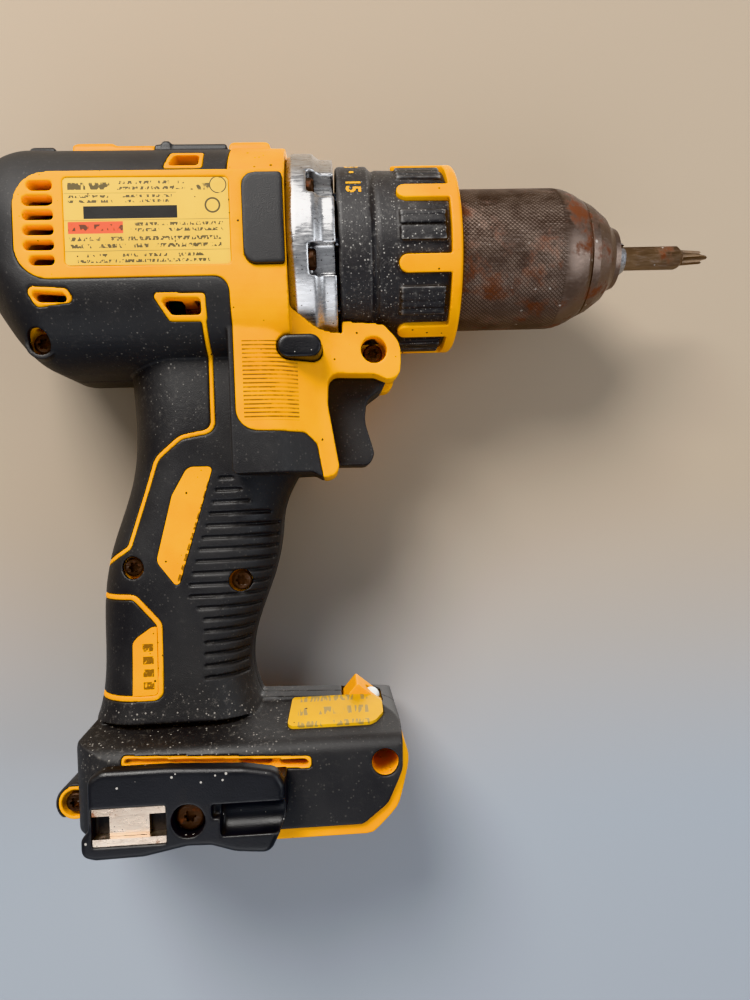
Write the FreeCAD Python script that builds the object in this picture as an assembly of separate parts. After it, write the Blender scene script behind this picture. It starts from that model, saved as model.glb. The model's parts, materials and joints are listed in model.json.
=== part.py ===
import FreeCAD, Part
import math
import os

from FreeCAD import Vector

# A compact brushless drill/driver, bare tool, millimetres.
# +X is forward along the spindle, +Z is up, and the handle hangs down towards -Z.
# The origin is on the spindle axis, in the plane of the chuck's mouth.

# --- Driving dimensions: lengths along the spindle ---------------------------
chuck_len = 52.4            # chuck mouth to the back of its sleeve
chuck_gap = 0.6             # running gap between the chuck and the clutch collar
collar_len = 35.0           # clutch collar
case_len = 14.0             # the part of the gear case that shows
head_len = 88.0             # motor housing behind the gear case

# --- Driving dimensions: head, handle and foot -------------------------------
head_half = 30.5            # half width of the head, under the rubber
head_top = 30.7             # spindle axis to the top of the head, under the rubber
head_bottom = 33.0          # spindle axis to the underside of the head, under the rubber
head_corner = 20.0          # lower corner radius of the head's section
head_crown = 29.5           # upper corner radius of the head's section
wall = 2.5                  # wall of the moulded shells
skin = 1.5                  # thickness of the moulded-on rubber
grip_drop = 99.0            # from the underside of the head to the top of the foot
foot_len = 93.0             # foot, rear to front
foot_half = 26.5            # half width of the foot, under the rubber
foot_height = 34.0          # foot, from its top face to its lower edge
foot_setback = 64.0         # gear case to the foot's rear face

# --- Driving dimensions: chuck, clutch and spindle ---------------------------
sleeve_r = 21.2             # outer radius of the chuck's gripping sleeve
chuck_bore_r = 6.6          # bore that the jaws close in
jaw_angle = 16.0            # slope of the jaw bores, degrees
jaw_r = 4.1                 # radius of a jaw
bit_across = 6.35           # hex bit, across flats
bit_out = 31.3              # bit showing ahead of the chuck
collar_r = 26.6             # clutch collar under its ribs
finger_rise = 1.2           # height of the collar's ribs and fingers
collar_wall = 3.0
spindle_r = 7.0
spindle_thread_r = 6.3

# --- Driving dimensions: gear case, gears and motor --------------------------
case_r = 31.3               # shoulder of the gear case
case_front_r = 29.6         # front rim of the gear case
case_body_r = 26.0          # gear case inside the housing
ring_r = 22.5               # outside of the ring gears
motor_r = 25.0              # outside of the stator
stator_len = 22.0
rotor_r = 11.5
air_gap = 0.6               # between rotor and stator
shaft_r = 2.5               # motor shaft
bearing_r = 8.0             # outside of the motor bearings
bearing_len = 5.0
slots = 12                  # stator teeth
run_fit = 0.05              # radial clearance of a running fit
free_gap = 0.35             # clearance between moving pieces that never touch
seat_gap = 0.02             # clearance of pieces that are seated in the housing

# --- Driving dimensions: controls --------------------------------------------
trigger_half = 9.0
trigger_travel = 7.0
button_len = 12.2           # direction button, along the tool
button_height = 6.4
button_shift = 2.5          # travel of the direction button to each side of the middle
selector_travel = 4.2
screw_r = 1.7               # housing screws
screw_head_r = 2.9
boss_r = 4.2

# --- Stations that follow from the sizes -------------------------------------
collar_front = -(chuck_len + chuck_gap)
collar_back = collar_front - collar_len
case_back = collar_back - case_len
head_back = case_back - head_len
head_under = -head_bottom
foot_top = head_under - grip_drop
foot_base = foot_top - foot_height
foot_rear = case_back - foot_setback
foot_front = foot_rear + foot_len
block_back = case_back - 15.5            # where the yellow front block begins


# --- Shapes that are used again and again ------------------------------------
def at(x, y, z):
    return Vector(x, y, z)


def rod(x0, x1, radius):
    """Cylinder along the spindle axis."""
    return Part.makeCylinder(radius, x1 - x0, at(x0, 0, 0), at(1, 0, 0))


def tube(x0, x1, outer, inner):
    return rod(x0, x1, outer).cut(rod(x0 - 1, x1 + 1, inner))


def pin_y(x, z, radius, y0, y1):
    """Cylinder across the tool."""
    return Part.makeCylinder(radius, y1 - y0, at(x, y0, z), at(0, 1, 0))


def block(x0, x1, y0, y1, z0, z1):
    return Part.makeBox(x1 - x0, y1 - y0, z1 - z0, at(x0, y0, z0))


def turned(profile):
    """Solid of revolution about the spindle axis from (station, radius) points."""
    points = [at(x, 0, r) for x, r in profile]
    points.append(points[0])
    face = Part.Face(Part.makePolygon(points))
    return face.revolve(at(0, 0, 0), at(1, 0, 0), 360)


def rounded_wire(corners, place):
    """Closed wire through (a, b, radius) corners, where place maps (a, b) into space."""
    edges = []
    count = len(corners)
    starts = []
    ends = []
    for i, (a, b, radius) in enumerate(corners):
        before = corners[i - 1]
        after = corners[(i + 1) % count]
        u = Vector(before[0] - a, before[1] - b, 0)
        v = Vector(after[0] - a, after[1] - b, 0)
        lu, lv = u.Length, v.Length
        u.normalize()
        v.normalize()
        half = math.acos(max(-1, min(1, u.dot(v)))) / 2
        if radius <= 0 or half > math.radians(89.5):
            starts.append(Vector(a, b, 0))
            ends.append(Vector(a, b, 0))
            continue
        reach = min(radius / math.tan(half), 0.49 * lu, 0.49 * lv)
        real = reach * math.tan(half)
        p = Vector(a, b, 0) + u * reach
        q = Vector(a, b, 0) + v * reach
        mid = u + v
        mid.normalize()
        m = Vector(a, b, 0) + mid * (real / math.sin(half) - real)
        edges.append(Part.Arc(place(p.x, p.y), place(m.x, m.y), place(q.x, q.y)).toShape())
        starts.append(p)
        ends.append(q)
    for i in range(count):
        p = ends[i]
        q = starts[(i + 1) % count]
        if (q - p).Length > 1e-6:
            edges.append(Part.makeLine(place(p.x, p.y), place(q.x, q.y)))
    return Part.Wire(Part.__sortEdges__(edges))


def side_face(corners, grow=0.0):
    """Face in the plane of the tool's side, from (x, z, radius) corners."""
    face = Part.Face(rounded_wire(corners, lambda a, b: at(a, 0, b)))
    if grow:
        face = face.makeOffset2D(grow)
    return face


def side_prism(corners, y0, y1, grow=0.0):
    face = side_face(corners, grow)
    face.translate(at(0, y0, 0))
    return face.extrude(at(0, y1 - y0, 0))


def strip(route, width, y0, y1):
    """A band of one width that follows (x, z, radius) corners across the tool's side."""
    there = []
    back = []
    count = len(route)
    for i, (x, z, radius) in enumerate(route):
        a = route[max(i - 1, 0)]
        b = route[min(i + 1, count - 1)]
        along_in = Vector(x - a[0], z - a[1], 0)
        along_out = Vector(b[0] - x, b[1] - z, 0)
        if i == 0:
            along_in = along_out
        if i == count - 1:
            along_out = along_in
        along_in.normalize()
        along_out.normalize()
        normal = Vector(-along_in.y - along_out.y, along_in.x + along_out.x, 0)
        normal.normalize()
        shift = width / 2 / max(0.3, normal.dot(Vector(-along_in.y, along_in.x, 0)))
        turn = along_in.cross(along_out).z
        inside = max(radius - width / 2, 0.2) if radius else 0
        outside = radius + width / 2 if radius else 0
        left, right = (inside, outside) if turn > 0 else (outside, inside)
        there.append((x + normal.x * shift, z + normal.y * shift, left))
        back.append((x - normal.x * shift, z - normal.y * shift, right))
    return side_prism(there + back[::-1], y0, y1)


def round_box(x, half, low, high, low_r, high_r):
    """Rounded rectangle across the spindle axis at one station."""
    corners = [(-half, low, low_r), (half, low, low_r), (half, high, high_r), (-half, high, high_r)]
    return rounded_wire(corners, lambda a, b: at(x, a, b))


def ring_of(shape, count, start=0.0):
    """Copies of a shape about the spindle axis."""
    copies = []
    for i in range(count):
        copy = shape.copy()
        copy.rotate(at(0, 0, 0), at(1, 0, 0), start + 360.0 * i / count)
        copies.append(copy)
    return copies


# --- The moulded body --------------------------------------------------------
dome_top = (12.0, 17.0)         # how far the rear end draws in, and over what length
dome_bottom = (32.0, 24.0)
dome_side = (12.0, 20.0)


def drawn_in(dome, distance):
    depth, length = dome
    return depth * max(0.0, 1 - distance / length) ** 2


def head_body(grow):
    """Barrel of the head with its domed rear end."""
    stations = [0.0, 2.0, 5.0, 9.0, 14.0, 19.0, 24.0]
    wires = []
    for d in stations:
        half = head_half - drawn_in(dome_side, d) + grow
        low = -head_bottom + drawn_in(dome_bottom, d) - grow
        high = head_top - drawn_in(dome_top, d) + grow
        low_r = min(head_corner + grow, 0.82 * half, 0.40 * (high - low))
        high_r = min(head_crown + grow, 0.95 * half, 0.46 * (high - low))
        wires.append(round_box(head_back - grow + d * (1 + grow / 24.0), half, low, high, low_r, high_r))
    dome = Part.makeLoft(wires, True, False)
    barrel = Part.Face(wires[-1]).extrude(at(case_back - head_back - 24.0, 0, 0))
    return dome.fuse(barrel)


def frame_boss(grow):
    """Flat-sided boss that carries the frame, the name plates and the bumpers."""
    outline = [(frame_rear, frame_low, 9), (case_back, frame_low, 0), (case_back, frame_high, 0),
               (frame_rear, frame_high, 9)]
    return side_prism(outline, -head_half - grow, head_half + grow)


def grip_station(share):
    return head_under - share * grip_drop


def on_handle(corners):
    """(distance ahead of the gear case's back, share of the drop, radius) as (x, z, radius)."""
    return [(case_back + dx, grip_station(share), radius) for dx, share, radius in corners]


def grip_body(grow):
    """Handle: rounded sections from inside the head down into the foot."""
    # share of the drop, back and front behind the gear case, half width
    sections = [(-0.05, -47.5, 4.0, 19.0), (0.12, -46.3, 4.0, 19.0), (0.26, -46.6, 2.5, 18.6),
                (0.38, -49.3, -4.5, 17.6), (0.49, -53.3, -7.2, 17.0), (0.62, -56.7, -9.9, 16.4),
                (0.77, -57.8, -15.6, 15.9), (0.92, -58.4, -17.6, 16.2), (1.03, -61.0, -14.0, 17.6)]
    wires = []
    for share, back, front, half in sections:
        z = grip_station(share)
        radius = 0.8 * (half + grow)
        x0 = case_back + back - grow
        x1 = case_back + front + grow
        corners = [(x0, -half - grow, radius), (x1, -half - grow, radius),
                   (x1, half + grow, radius), (x0, half + grow, radius)]
        wires.append(rounded_wire(corners, lambda a, b, z=z: at(a, b, z)))
    return Part.makeLoft(wires, True, False)


def nose_outline():
    """Side outline of the block that carries the trigger, from (x, z, radius) corners."""
    front = collar_front - 19.0
    return [(block_back, -8.0, 0), (case_back, -8.0, 0), (collar_back + 2, -16.0, 0),
            (collar_back + 2, -23.0, 0), (front - 5.0, -23.5, 3.0), (front, -29.0, 6.0),
            (front - 0.5, -38.5, 2.0), (front - 6.0, -36.0, 3.0),
            (front - 21.3, -35.5, 4.5), (front - 22.0, -46.0, 16.0), (front - 19.2, -64.8, 1.6),
            (front - 22.0, -65.6, 2.0), (front - 25.0, -63.8, 3.0), (block_back, -63.8, 0)]


def block_body(grow):
    """The block under the gear case, wide behind and narrow at its nose."""
    side = side_prism(nose_outline(), -60, 60, grow)
    plan = [(block_back - 4, -27.0 - grow, 0), (block_back + 12, -26.0 - grow, 12),
            (collar_back - 5, -17.5 - grow, 12), (collar_front - 10, -14.0 - grow, 0)]
    mirror = [(x, -y, radius) for x, y, radius in plan[::-1]]
    wire = rounded_wire(plan + mirror, lambda a, b: at(a, b, -90))
    taper = Part.Face(wire).extrude(at(0, 0, 120))
    return side.common(taper)


def foot_outline():
    return [(foot_rear, foot_base, 3), (foot_rear, foot_top - 9, 12), (foot_rear + 8, foot_top + 1, 8),
            (foot_rear + 40, foot_top - 1.0, 20), (foot_front - 10, foot_top - 2.8, 5),
            (foot_front - 3, foot_top - 6, 5), (foot_front, foot_top - 15, 8),
            (foot_front - 4, foot_top - 27, 8), (foot_front - 11.5, foot_base, 3)]


foot_ridge = 6.0                # half width of the level strip along the foot's top
foot_rear_r = 15.0              # corner radii of the foot seen from above
foot_front_r = 7.0


def foot_body(grow):
    side = side_prism(foot_outline(), -60, 60, grow)
    half = foot_half + grow
    top = foot_top + 1 + grow
    section = [(-half, foot_base - 2 - grow, 0), (half, foot_base - 2 - grow, 0),
               (half, foot_top - 9.4 + grow, 5), (foot_ridge, foot_top - 2.6 + grow, 8),
               (foot_ridge, top, 0), (-foot_ridge, top, 0),
               (-foot_ridge, foot_top - 2.6 + grow, 8), (-half, foot_top - 9.4 + grow, 5)]
    wire = rounded_wire(section, lambda a, b: at(foot_rear - 10, a, b))
    across = Part.Face(wire).extrude(at(foot_len + 20, 0, 0))
    x0, x1 = foot_rear - grow, foot_front + grow
    plan = [(x0, -half, foot_rear_r), (x1, -half, foot_front_r), (x1, half, foot_front_r),
            (x0, half, foot_rear_r)]
    above = Part.Face(rounded_wire(plan, lambda a, b: at(a, b, foot_base - 10))).extrude(at(0, 0, 60))
    return side.common(across).common(above)


rear_lug = (head_back + 20.0, head_under + 5.6)
foot_lug = (foot_rear - 4.3, foot_base + 7.2)


def lugs(grow):
    """Screw lugs at the rear of the head and of the foot."""
    rear = pin_y(rear_lug[0], rear_lug[1], 4.0 + 0.3 * grow, -22 - grow, 22 + grow)
    low = pin_y(foot_lug[0], foot_lug[1], 4.8 + 0.5 * grow, -11, 11)
    web = block(foot_rear - 6.0, foot_rear + 8, -11, 11, foot_base + 2.8 - 0.5 * grow, foot_base + 12.0)
    return [rear, low, web]


def body(grow, with_lugs=True):
    pieces = [head_body(grow), frame_boss(grow), grip_body(grow), block_body(grow), foot_body(grow)]
    if with_lugs:
        pieces += lugs(grow)
    solid = pieces[0].fuse(pieces[1:])
    return solid



def half_space(sign, reach=70.0):
    """Everything on one side of the mould's parting plane; sign is -1 for the right half."""
    y0, y1 = (-reach, 0.0) if sign < 0 else (0.0, reach)
    return block(head_back - 40, 60, y0, y1, foot_base - 40, head_top + 40)


# --- Where the yellow shell shows through the rubber, as (x, z, radius) -------
frame_rear = head_back + 17.0            # rear end of the frame round the name plate
frame_high = 15.6
frame_low = -12.6


def yellow_front():
    """Head frame, front block and the surround of the trigger."""
    front = collar_front - 19.0
    tall = head_top + 20
    return [(frame_rear, frame_low, 9), (block_back, frame_low, 4), (block_back, -53.5, 6),
            (front - 27.0, -54.2, 3), (front - 23.8, -57.5, 3), (front - 22.2, -68.5, 0),
            (front + 12, -68.5, 0), (front + 12, tall, 0), (block_back, tall, 0),
            (block_back, frame_high, 1), (frame_rear, frame_high, 9)]


def yellow_line():
    """Thin line from the side vent down the back of the handle."""
    return on_handle([(-22.9, -0.101, 0), (-22.9, 0.198, 3), (-32.0, 0.214, 5), (-39.5, 0.273, 6),
                      (-45.6, 0.444, 8), (-48.4, 0.525, 3), (-68.0, 0.636, 0)])


def low_panel_line():
    """Thin line round the window low on the handle's back edge."""
    return on_handle([(-68.0, 0.666, 0), (-47.4, 0.666, 3), (-40.6, 0.747, 3), (-40.9, 0.956, 2),
                      (-68.0, 0.959, 0)])


def grip_badge_outline():
    return on_handle([(-30.6, 0.299, 3), (-23.6, 0.300, 1), (-34.9, 0.646, 1), (-40.6, 0.566, 3),
                      (-35.4, 0.379, 3)])


def low_badge_outline():
    """Yellow panel inside the lower window's front edge."""
    return on_handle([(-41.2, 0.752, 1), (-41.2, 0.955, 1), (-48.8, 0.955, 0.5), (-48.4, 0.798, 2.5),
                      (-47.0, 0.782, 2), (-43.0, 0.755, 1)])


def rib_panel_outline():
    return on_handle([(-22.6, 0.307, 1), (-17.8, 0.311, 3), (-11.9, 0.400, 5), (-2.0, 0.449, 0),
                      (-2.0, 0.944, 0), (-29.8, 0.944, 2), (-29.4, 0.742, 6), (-34.0, 0.661, 1)])


def foot_rubber():
    """Rubber cover of the foot: all of it but the rim below and ahead."""
    low = foot_base + 3.2
    return [(foot_rear - 20, foot_top + 14, 0), (foot_front - 1.5, foot_top + 14, 0),
            (foot_front - 2.6, foot_top - 16.5, 6), (foot_front - 7.0, foot_top - 25.5, 5),
            (foot_front - 14.0, low, 3), (foot_rear - 20, low, 0)]


# --- Places of the screws: (x, z) on the tool's side --------------------------
def screw_places():
    return [rear_lug, (collar_front - 25.5, -30.4), (case_back - 47.6, grip_station(0.582)),
            (case_back - 17.4, grip_station(0.632)), foot_lug]


screw_depth = [19.5, 9.0, 13.0, 13.0, 8.5]    # head seat to the parting plane, same order


def direction_button_outline(grow=0.0):
    x = block_back + 17.9
    z = -30.8
    half, tall = button_len / 2 + grow, button_height / 2 + grow
    return [(x - half, z - tall, tall - 0.05), (x + half, z - tall, tall - 0.05),
            (x + half, z + tall, tall - 0.05), (x - half, z + tall, tall - 0.05)]


def trigger_outline():
    front = collar_front - 19.0
    return [(front - 1.6, -36.9, 1.2), (front - 4.0, -40.6, 3), (front - 8.6, -43.6, 4),
            (front - 9.6, -50.0, 10), (front - 6.9, -60.0, 2.5), (front - 8.4, -63.4, 2.5),
            (front - 27.0, -63.0, 1), (front - 27.0, -38.0, 1), (front - 17.0, -36.9, 1)]


# --- Stations of the gearbox and the motor ------------------------------------
gearbox_back = case_back - 25.0
plate_front = gearbox_back - 0.1         # face of the motor plate
plate_len = 4.5
plate_back = plate_front - plate_len
stator_front = plate_back - 4.5
stator_back = stator_front - stator_len
fan_front = stator_back - 7.5
fan_len = 5.0
fan_back = fan_front - fan_len
rear_bearing_front = fan_back - 1.0
rear_bearing_back = rear_bearing_front - bearing_len
shaft_back = rear_bearing_back + 0.5
shaft_front = gearbox_back + 10.2


def vent_slots():
    """Six air slots beside the fan, cut by the rounded end of the frame."""
    slots_here = []
    for i in range(6):
        z = frame_high - 4.9 - 3.95 * i
        inset = 1.4 if i in (0, 5) else 0.0
        x0 = frame_rear + 2.6 + inset
        corners = [(x0, z, 1.2), (frame_rear + 10.4, z, 0.9), (frame_rear + 10.4, z + 2.5, 0.9),
                   (x0, z + 2.5, 1.2)]
        slots_here.append(side_prism(corners, -60, 60))
    return slots_here


def side_vents():
    """The two larger intakes under the frame."""
    rear = side_prism([(frame_rear + 3.4, -15.6, 1), (frame_rear + 12.2, -16.2, 1),
                       (frame_rear + 13.6, -18.6, 1), (frame_rear + 5.4, -18.4, 1)], -60, 60)
    x = case_back
    front = side_prism([(x - 34.2, -18.0, 1), (x - 23.2, -18.2, 1), (x - 23.4, -22.4, 1),
                        (x - 31.2, -22.3, 1)], -60, 60)
    return [rear, front]


def vent_frames():
    """Yellow rims round the two intakes."""
    rear = side_prism([(frame_rear + 2.0, -14.2, 1.5), (frame_rear + 13.0, -15.0, 1.5),
                       (frame_rear + 15.3, -18.6, 1.5), (frame_rear + 4.9, -19.8, 1.5)], -60, 60)
    x = case_back
    front = side_prism([(x - 36.2, -16.7, 1), (x - 21.9, -16.9, 1), (x - 21.9, -24.0, 1),
                        (x - 32.0, -23.8, 1)], -60, 60)
    return [rear, front]


def shoulder_vent(grow=0.0):
    """Opening on each side of the head's crown, above the frame."""
    x, z = case_back, head_top
    corners = [(x - 31.5 - grow, z - 11.3 - grow, 0.8), (x - 23.4 + grow, z - 11.3 - grow, 0.8),
               (x - 23.6 + grow, z - 6.6 + grow, 0.8), (x - 30.4 - grow, z - 6.6 + grow, 0.8)]
    return side_prism(corners, -60, 60)


def inner_webs():
    """Ribs inside the shells that hold the motor, the gear case and the bearings."""
    hollow = body(-wall + 0.2, False)
    webs = []
    wire_way = block(plate_back - 8, plate_front + 12, -7, 7, -50, -case_body_r - 0.5)
    for x0, x1, radius in [(stator_back + 3, stator_back + 6, motor_r + seat_gap),
                           (stator_front - 6, stator_front - 3, motor_r + seat_gap),
                           (plate_back + 0.5, plate_front - 0.5, case_body_r + seat_gap),
                           (case_back - 9, case_back, case_body_r + seat_gap),
                           (rear_bearing_back, rear_bearing_front, bearing_r + seat_gap)]:
        slab = block(x0, x1, -50, 50, -head_bottom, 50)
        webs.append(slab.common(hollow).cut([rod(x0 - 1, x1 + 1, radius), wire_way]))
    return webs


def screw_tools():
    """Bosses, clearance holes and head seats of the housing screws."""
    bosses = []
    holes = []
    for (x, z), depth in zip(screw_places(), screw_depth):
        bosses.append(pin_y(x, z, boss_r, -depth, depth))
        holes.append(pin_y(x, z, screw_r + seat_gap, -depth - 1, depth - 2.0))
        holes.append(pin_y(x, z, screw_head_r + 0.3, -60, -depth))
    return bosses, holes


def wide_seats():
    """Room round the screw heads in the shells, which the rubber closes to a smaller hole."""
    radius = screw_head_r + 0.9
    return [pin_y(x, z, radius, -60, -depth) for (x, z), depth in zip(screw_places(), screw_depth)]


def foot_slot_outline(grow=0.0):
    """Long slot in the foot's rubber, above the bit clip."""
    x, z = foot_front, foot_base
    return [(x - 78.0 - grow, z + 23.3 - grow, 1), (x - 28.5 + grow, z + 20.2 - grow, 1),
            (x - 28.5 + grow, z + 22.0 + grow, 1), (x - 78.0 - grow, z + 24.6 + grow, 1)]


def foot_vents():
    """Groove along the foot's slot and the two openings at its front end."""
    band = side_prism(foot_slot_outline(), -60, 60)
    groove = band.cut(block(foot_rear - 20, foot_front + 20, -foot_half + 0.6, foot_half - 0.6, -400, 0))
    front = block(foot_front - 36.5, foot_front - 28.9, -60, 60, foot_base, foot_top)
    rear = block(foot_front - 47.5, foot_front - 38.5, -60, 60, foot_base, foot_top)
    return [groove, band.common(front), band.common(rear)]


def pack_channel():
    """Space under the foot that the battery's rails slide into from the front."""
    x0 = foot_rear + 6.0
    x1 = foot_front + 10
    wide = block(x0, x1, -21.5, 21.5, foot_base + 3.6, foot_base + 15.0)
    throat = block(x0, x1, -18.0, 18.0, foot_base - 10, foot_base + 5.0)
    return wide.fuse(throat)


def foot_hollow():
    """Room for the electronics above the battery channel."""
    return block(foot_rear + 6.0, foot_front - 22, -foot_half + wall + 2, foot_half - wall - 2,
                 foot_base + 17.5, foot_top - 2.0)


tether_x = foot_front - 7.4
tether_z = foot_top - 14.2
tether_r = 3.7


def hollow_space():
    """Everything that the two shells are hollow for."""
    upper = [head_body(-wall), grip_body(-wall), block_body(-wall), foot_hollow()]
    space = upper[0].fuse(upper[1:])
    bosses, _ = screw_tools()
    ceiling = block(foot_rear - 20, foot_front + 20, -50, 50, foot_base - 20, foot_base + 17.5)
    kept = bosses + inner_webs() + [ceiling]
    return space.cut(kept)


def housing_cutters():
    """What is cut right through the shells: fits for the pieces that they carry."""
    _, holes = screw_tools()
    cutters = holes + vent_slots() + side_vents() + foot_vents()
    cutters.append(shoulder_vent())
    cutters.append(rod(case_back - 25.5, case_back + 0.05, case_body_r + seat_gap))
    cutters.append(rod(case_back - 0.02, collar_back + 0.5, case_r + 0.05))
    cutters.append(rod(collar_back, collar_front + 10, collar_r + finger_rise + 0.7))
    cutters.append(side_prism(direction_button_outline(0.25), -60, 60))
    front = collar_front - 19.0
    cutters.append(block(front - 44.0, front + 5, -trigger_half - free_gap, trigger_half + free_gap,
                         -64.2, -36.3))
    cutters.append(pin_y(tether_x, tether_z, tether_r, -60, 60))
    cutters.append(pack_channel())
    cutters.append(led_pocket())
    cutters.append(selector_slot())
    cutters += case_screw_holes(1.6 + seat_gap)
    clip_x, clip_z = clip_screw_place()
    cutters.append(pin_y(clip_x, clip_z, 1.87, -60, -22.0))
    cutters.append(pin_y(clip_x, clip_z, accessory_hole_r, 20.0, 60))
    return cutters


lamp_x = foot_front - 12.5


def led_pocket():
    return block(lamp_x - 6.0, lamp_x + 6.2, -7.0, 7.0, foot_top - 9.5, foot_top + 5)


selector_len = 9.6
tongue_len = 3.0                         # speed selector's tongue, along the tool
tongue_back = gearbox_back + 15.2
selector_rise = 3.4                      # of the selector above the head, under the rubber


def selector_back():
    return gearbox_back + 7.6


def selector_slot():
    """Window on top of the head that the speed selector slides in."""
    x0 = selector_back() - free_gap
    x1 = tongue_back + tongue_len + selector_travel + free_gap
    return block(x0, x1, -6.0, 6.0, case_body_r - 3, head_top + 10)


def raised_block(x0, x1, half, rise, radius):
    """Block that stands up from the head's crown, rounded along its top."""
    solid = block(x0, x1, -half, half, head_top - 9, head_top + rise)
    edges = [e for e in solid.Edges if e.BoundBox.ZMin > head_top + rise - 0.1]
    return solid.makeFillet(radius, edges)


def crown_rails():
    """Yellow rail along the crown, behind and ahead of the vent hood, with its two humps."""
    rear = raised_block(head_back + 26.5, case_back - 37.0, 12.0, 1.5, 1.2)
    rear_hump = raised_block(head_back + 26.5, head_back + 39.0, 12.0, 2.6, 2.2)
    front_hump = raised_block(case_back - 16.5, case_back - 4.5, 12.0, 2.6, 2.2)
    return rear.fuse([rear_hump, front_hump])


def vent_hood():
    """Rubber bridge over the shoulder vents, with its lip, and the small hump on the rear end."""
    hood = raised_block(case_back - 38.0, case_back - 17.0, 12.4, 1.7, 1.2)
    lip = raised_block(case_back - 35.8, case_back - 33.2, 12.6, 2.5, 1.0)
    hump = raised_block(head_back + 14.0, head_back + 21.5, 11.0, 1.9, 1.6)
    return hood.fuse([lip, hump])


def pad_outline():
    return [(case_back - 11.2, -9.8, 3.5), (case_back - 0.4, -9.8, 0.5), (case_back - 0.4, 14.4, 0.5),
            (case_back - 11.2, 14.4, 3.5)]


def plate_outline():
    return [(frame_rear + 13.2, frame_low + 3.4, 1), (block_back + 0.8, frame_low + 3.0, 1),
            (block_back + 0.8, frame_high - 2.0, 1), (frame_rear + 13.2, frame_high - 1.6, 1)]


def build_moulding():
    """The two yellow shells and everything that is moulded on or set flush into them."""
    base = body(0.0)
    cover = body(skin).fuse(vent_hood()).cut(base)
    cutters = housing_cutters()
    shows = [side_prism(yellow_front(), -60, 60), strip(yellow_line(), 1.3, -60, 60),
             strip(low_panel_line(), 1.6, -60, 60)] + vent_frames()
    shows.append(shoulder_vent(1.3))
    shows.append(side_prism(foot_slot_outline(0.8), -60, 60))
    yellow = shows[0].fuse(shows[1:])
    foot_zone = block(foot_rear - 30, foot_front + 30, -60, 60, foot_base - 30, foot_top - 2)
    foot_bare = foot_zone.cut(side_prism(foot_rubber(), -60, 60))
    badge = side_prism(grip_badge_outline(), -60, 60).fuse(side_prism(low_badge_outline(), -60, 60))
    rails = crown_rails().cut([vent_hood(), hollow_space()])
    pads = side_prism(pad_outline(), -60, 60)
    plate = side_prism(plate_outline(), -60, 60)

    shell = base.cut(hollow_space())
    proud = cover.common(yellow).cut([pads, plate])
    shell = shell.fuse([proud, rails]).cut(cutters + wide_seats())
    rubber = cover.cut([yellow, foot_bare, badge, rails, build_foot_plate()]).cut(cutters)
    rubber = rubber.cut(rib_cutter())
    inserts = cover.common(badge).cut(cutters + [yellow])
    pad = body(skin + 1.3, False).cut(base).common(pads).cut(cutters)
    plates = body(skin - 0.3, False).cut(base).common(plate)
    nodes = {"grip_badges": inserts, "bumper_pads": pad, "name_plates": plates}
    for side, sign in (("right", -1), ("left", 1)):
        part = half_space(sign)
        nodes["housing_" + side] = biggest(shell.common(part))
        nodes["grip_" + side] = rubber.common(part)
    return nodes


def rib_cutter():
    """Grooves between the ribs of the handle's finger panel."""
    pitch = 3.35
    count = 18
    grooves = []
    for i in range(count):
        z = grip_station(0.333) - pitch * i
        grooves.append(block(case_back - 38, case_back + 2, -60, 60, z - 0.5, z + 0.5))
    face = side_face(rib_panel_outline())
    inner = face.makeOffset2D(-1.2)
    inner.translate(at(0, -60, 0))
    zone = inner.extrude(at(0, 120, 0))
    edge = strip(rib_panel_outline() + [rib_panel_outline()[0]], 1.0, -60, 60)
    depth = body(skin + 2, False).cut(body(skin - 0.8, False))
    low, high = foot_top - 8, head_under - 17
    sides = block(case_back - 48, case_back + 7, -60, -7, low, high)
    sides = sides.fuse(block(case_back - 48, case_back + 7, 7, 60, low, high))
    tool = grooves[0].fuse(grooves[1:]).common(zone).fuse(edge)
    return tool.common(depth).common(sides)


def biggest(shape):
    solids = sorted(shape.Solids, key=lambda s: -s.Volume)
    return solids[0]


# --- Screws -------------------------------------------------------------------
def socket(depth):
    """Six-lobed recess, cut along +Y from the origin."""
    core = Part.makeCylinder(1.15, depth, at(0, -0.01, 0), at(0, 1, 0))
    lobes = []
    for i in range(6):
        a = math.radians(60 * i)
        centre = at(1.15 * math.cos(a), -0.01, 1.15 * math.sin(a))
        lobes.append(Part.makeCylinder(0.42, depth, centre, at(0, 1, 0)))
    return core.fuse(lobes)


def pan_screw(head_radius, head_height, shank_radius, length):
    """Screw along +Y with the underside of its head at the origin."""
    head = Part.makeCylinder(head_radius, head_height, at(0, -head_height, 0), at(0, 1, 0))
    rim = [e for e in head.Edges if e.BoundBox.YMax < -head_height + 0.01]
    head = head.makeFillet(min(0.9, head_height * 0.45), rim)
    shank = Part.makeCylinder(shank_radius, length, at(0, 0, 0), at(0, 1, 0))
    recess = socket(1.4)
    recess.translate(at(0, -head_height, 0))
    return head.fuse(shank).cut(recess)


def build_screws():
    screws = []
    for (x, z), depth in zip(screw_places(), screw_depth):
        screw = pan_screw(screw_head_r, 2.2, screw_r, 2 * depth - 2.5)
        screw.translate(at(x, -depth, z))
        screws.append(screw)
    return screws



# --- Gears --------------------------------------------------------------------
pressure = math.radians(25.0)
backlash = 0.15                          # at the pitch circle, per mesh
# module, sun teeth, planet teeth, ring teeth, station of the planets' rear face, face width
stage_1 = (0.75, 15, 15, 45, gearbox_back + 4.6, 5.4)
stage_2 = (0.80, 18, 12, 42, gearbox_back + 13.2, 5.4)
stage_3 = (0.80, 18, 12, 42, gearbox_back + 23.8, 6.4)
stages = [stage_1, stage_2, stage_3]
planet_count = 3
planet_pin_r = 1.6
plate_thick = 2.0                        # planet carriers


def orbit_r(stage):
    module, sun, planet, _, _, _ = stage
    return module * (sun + planet) / 2


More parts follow.
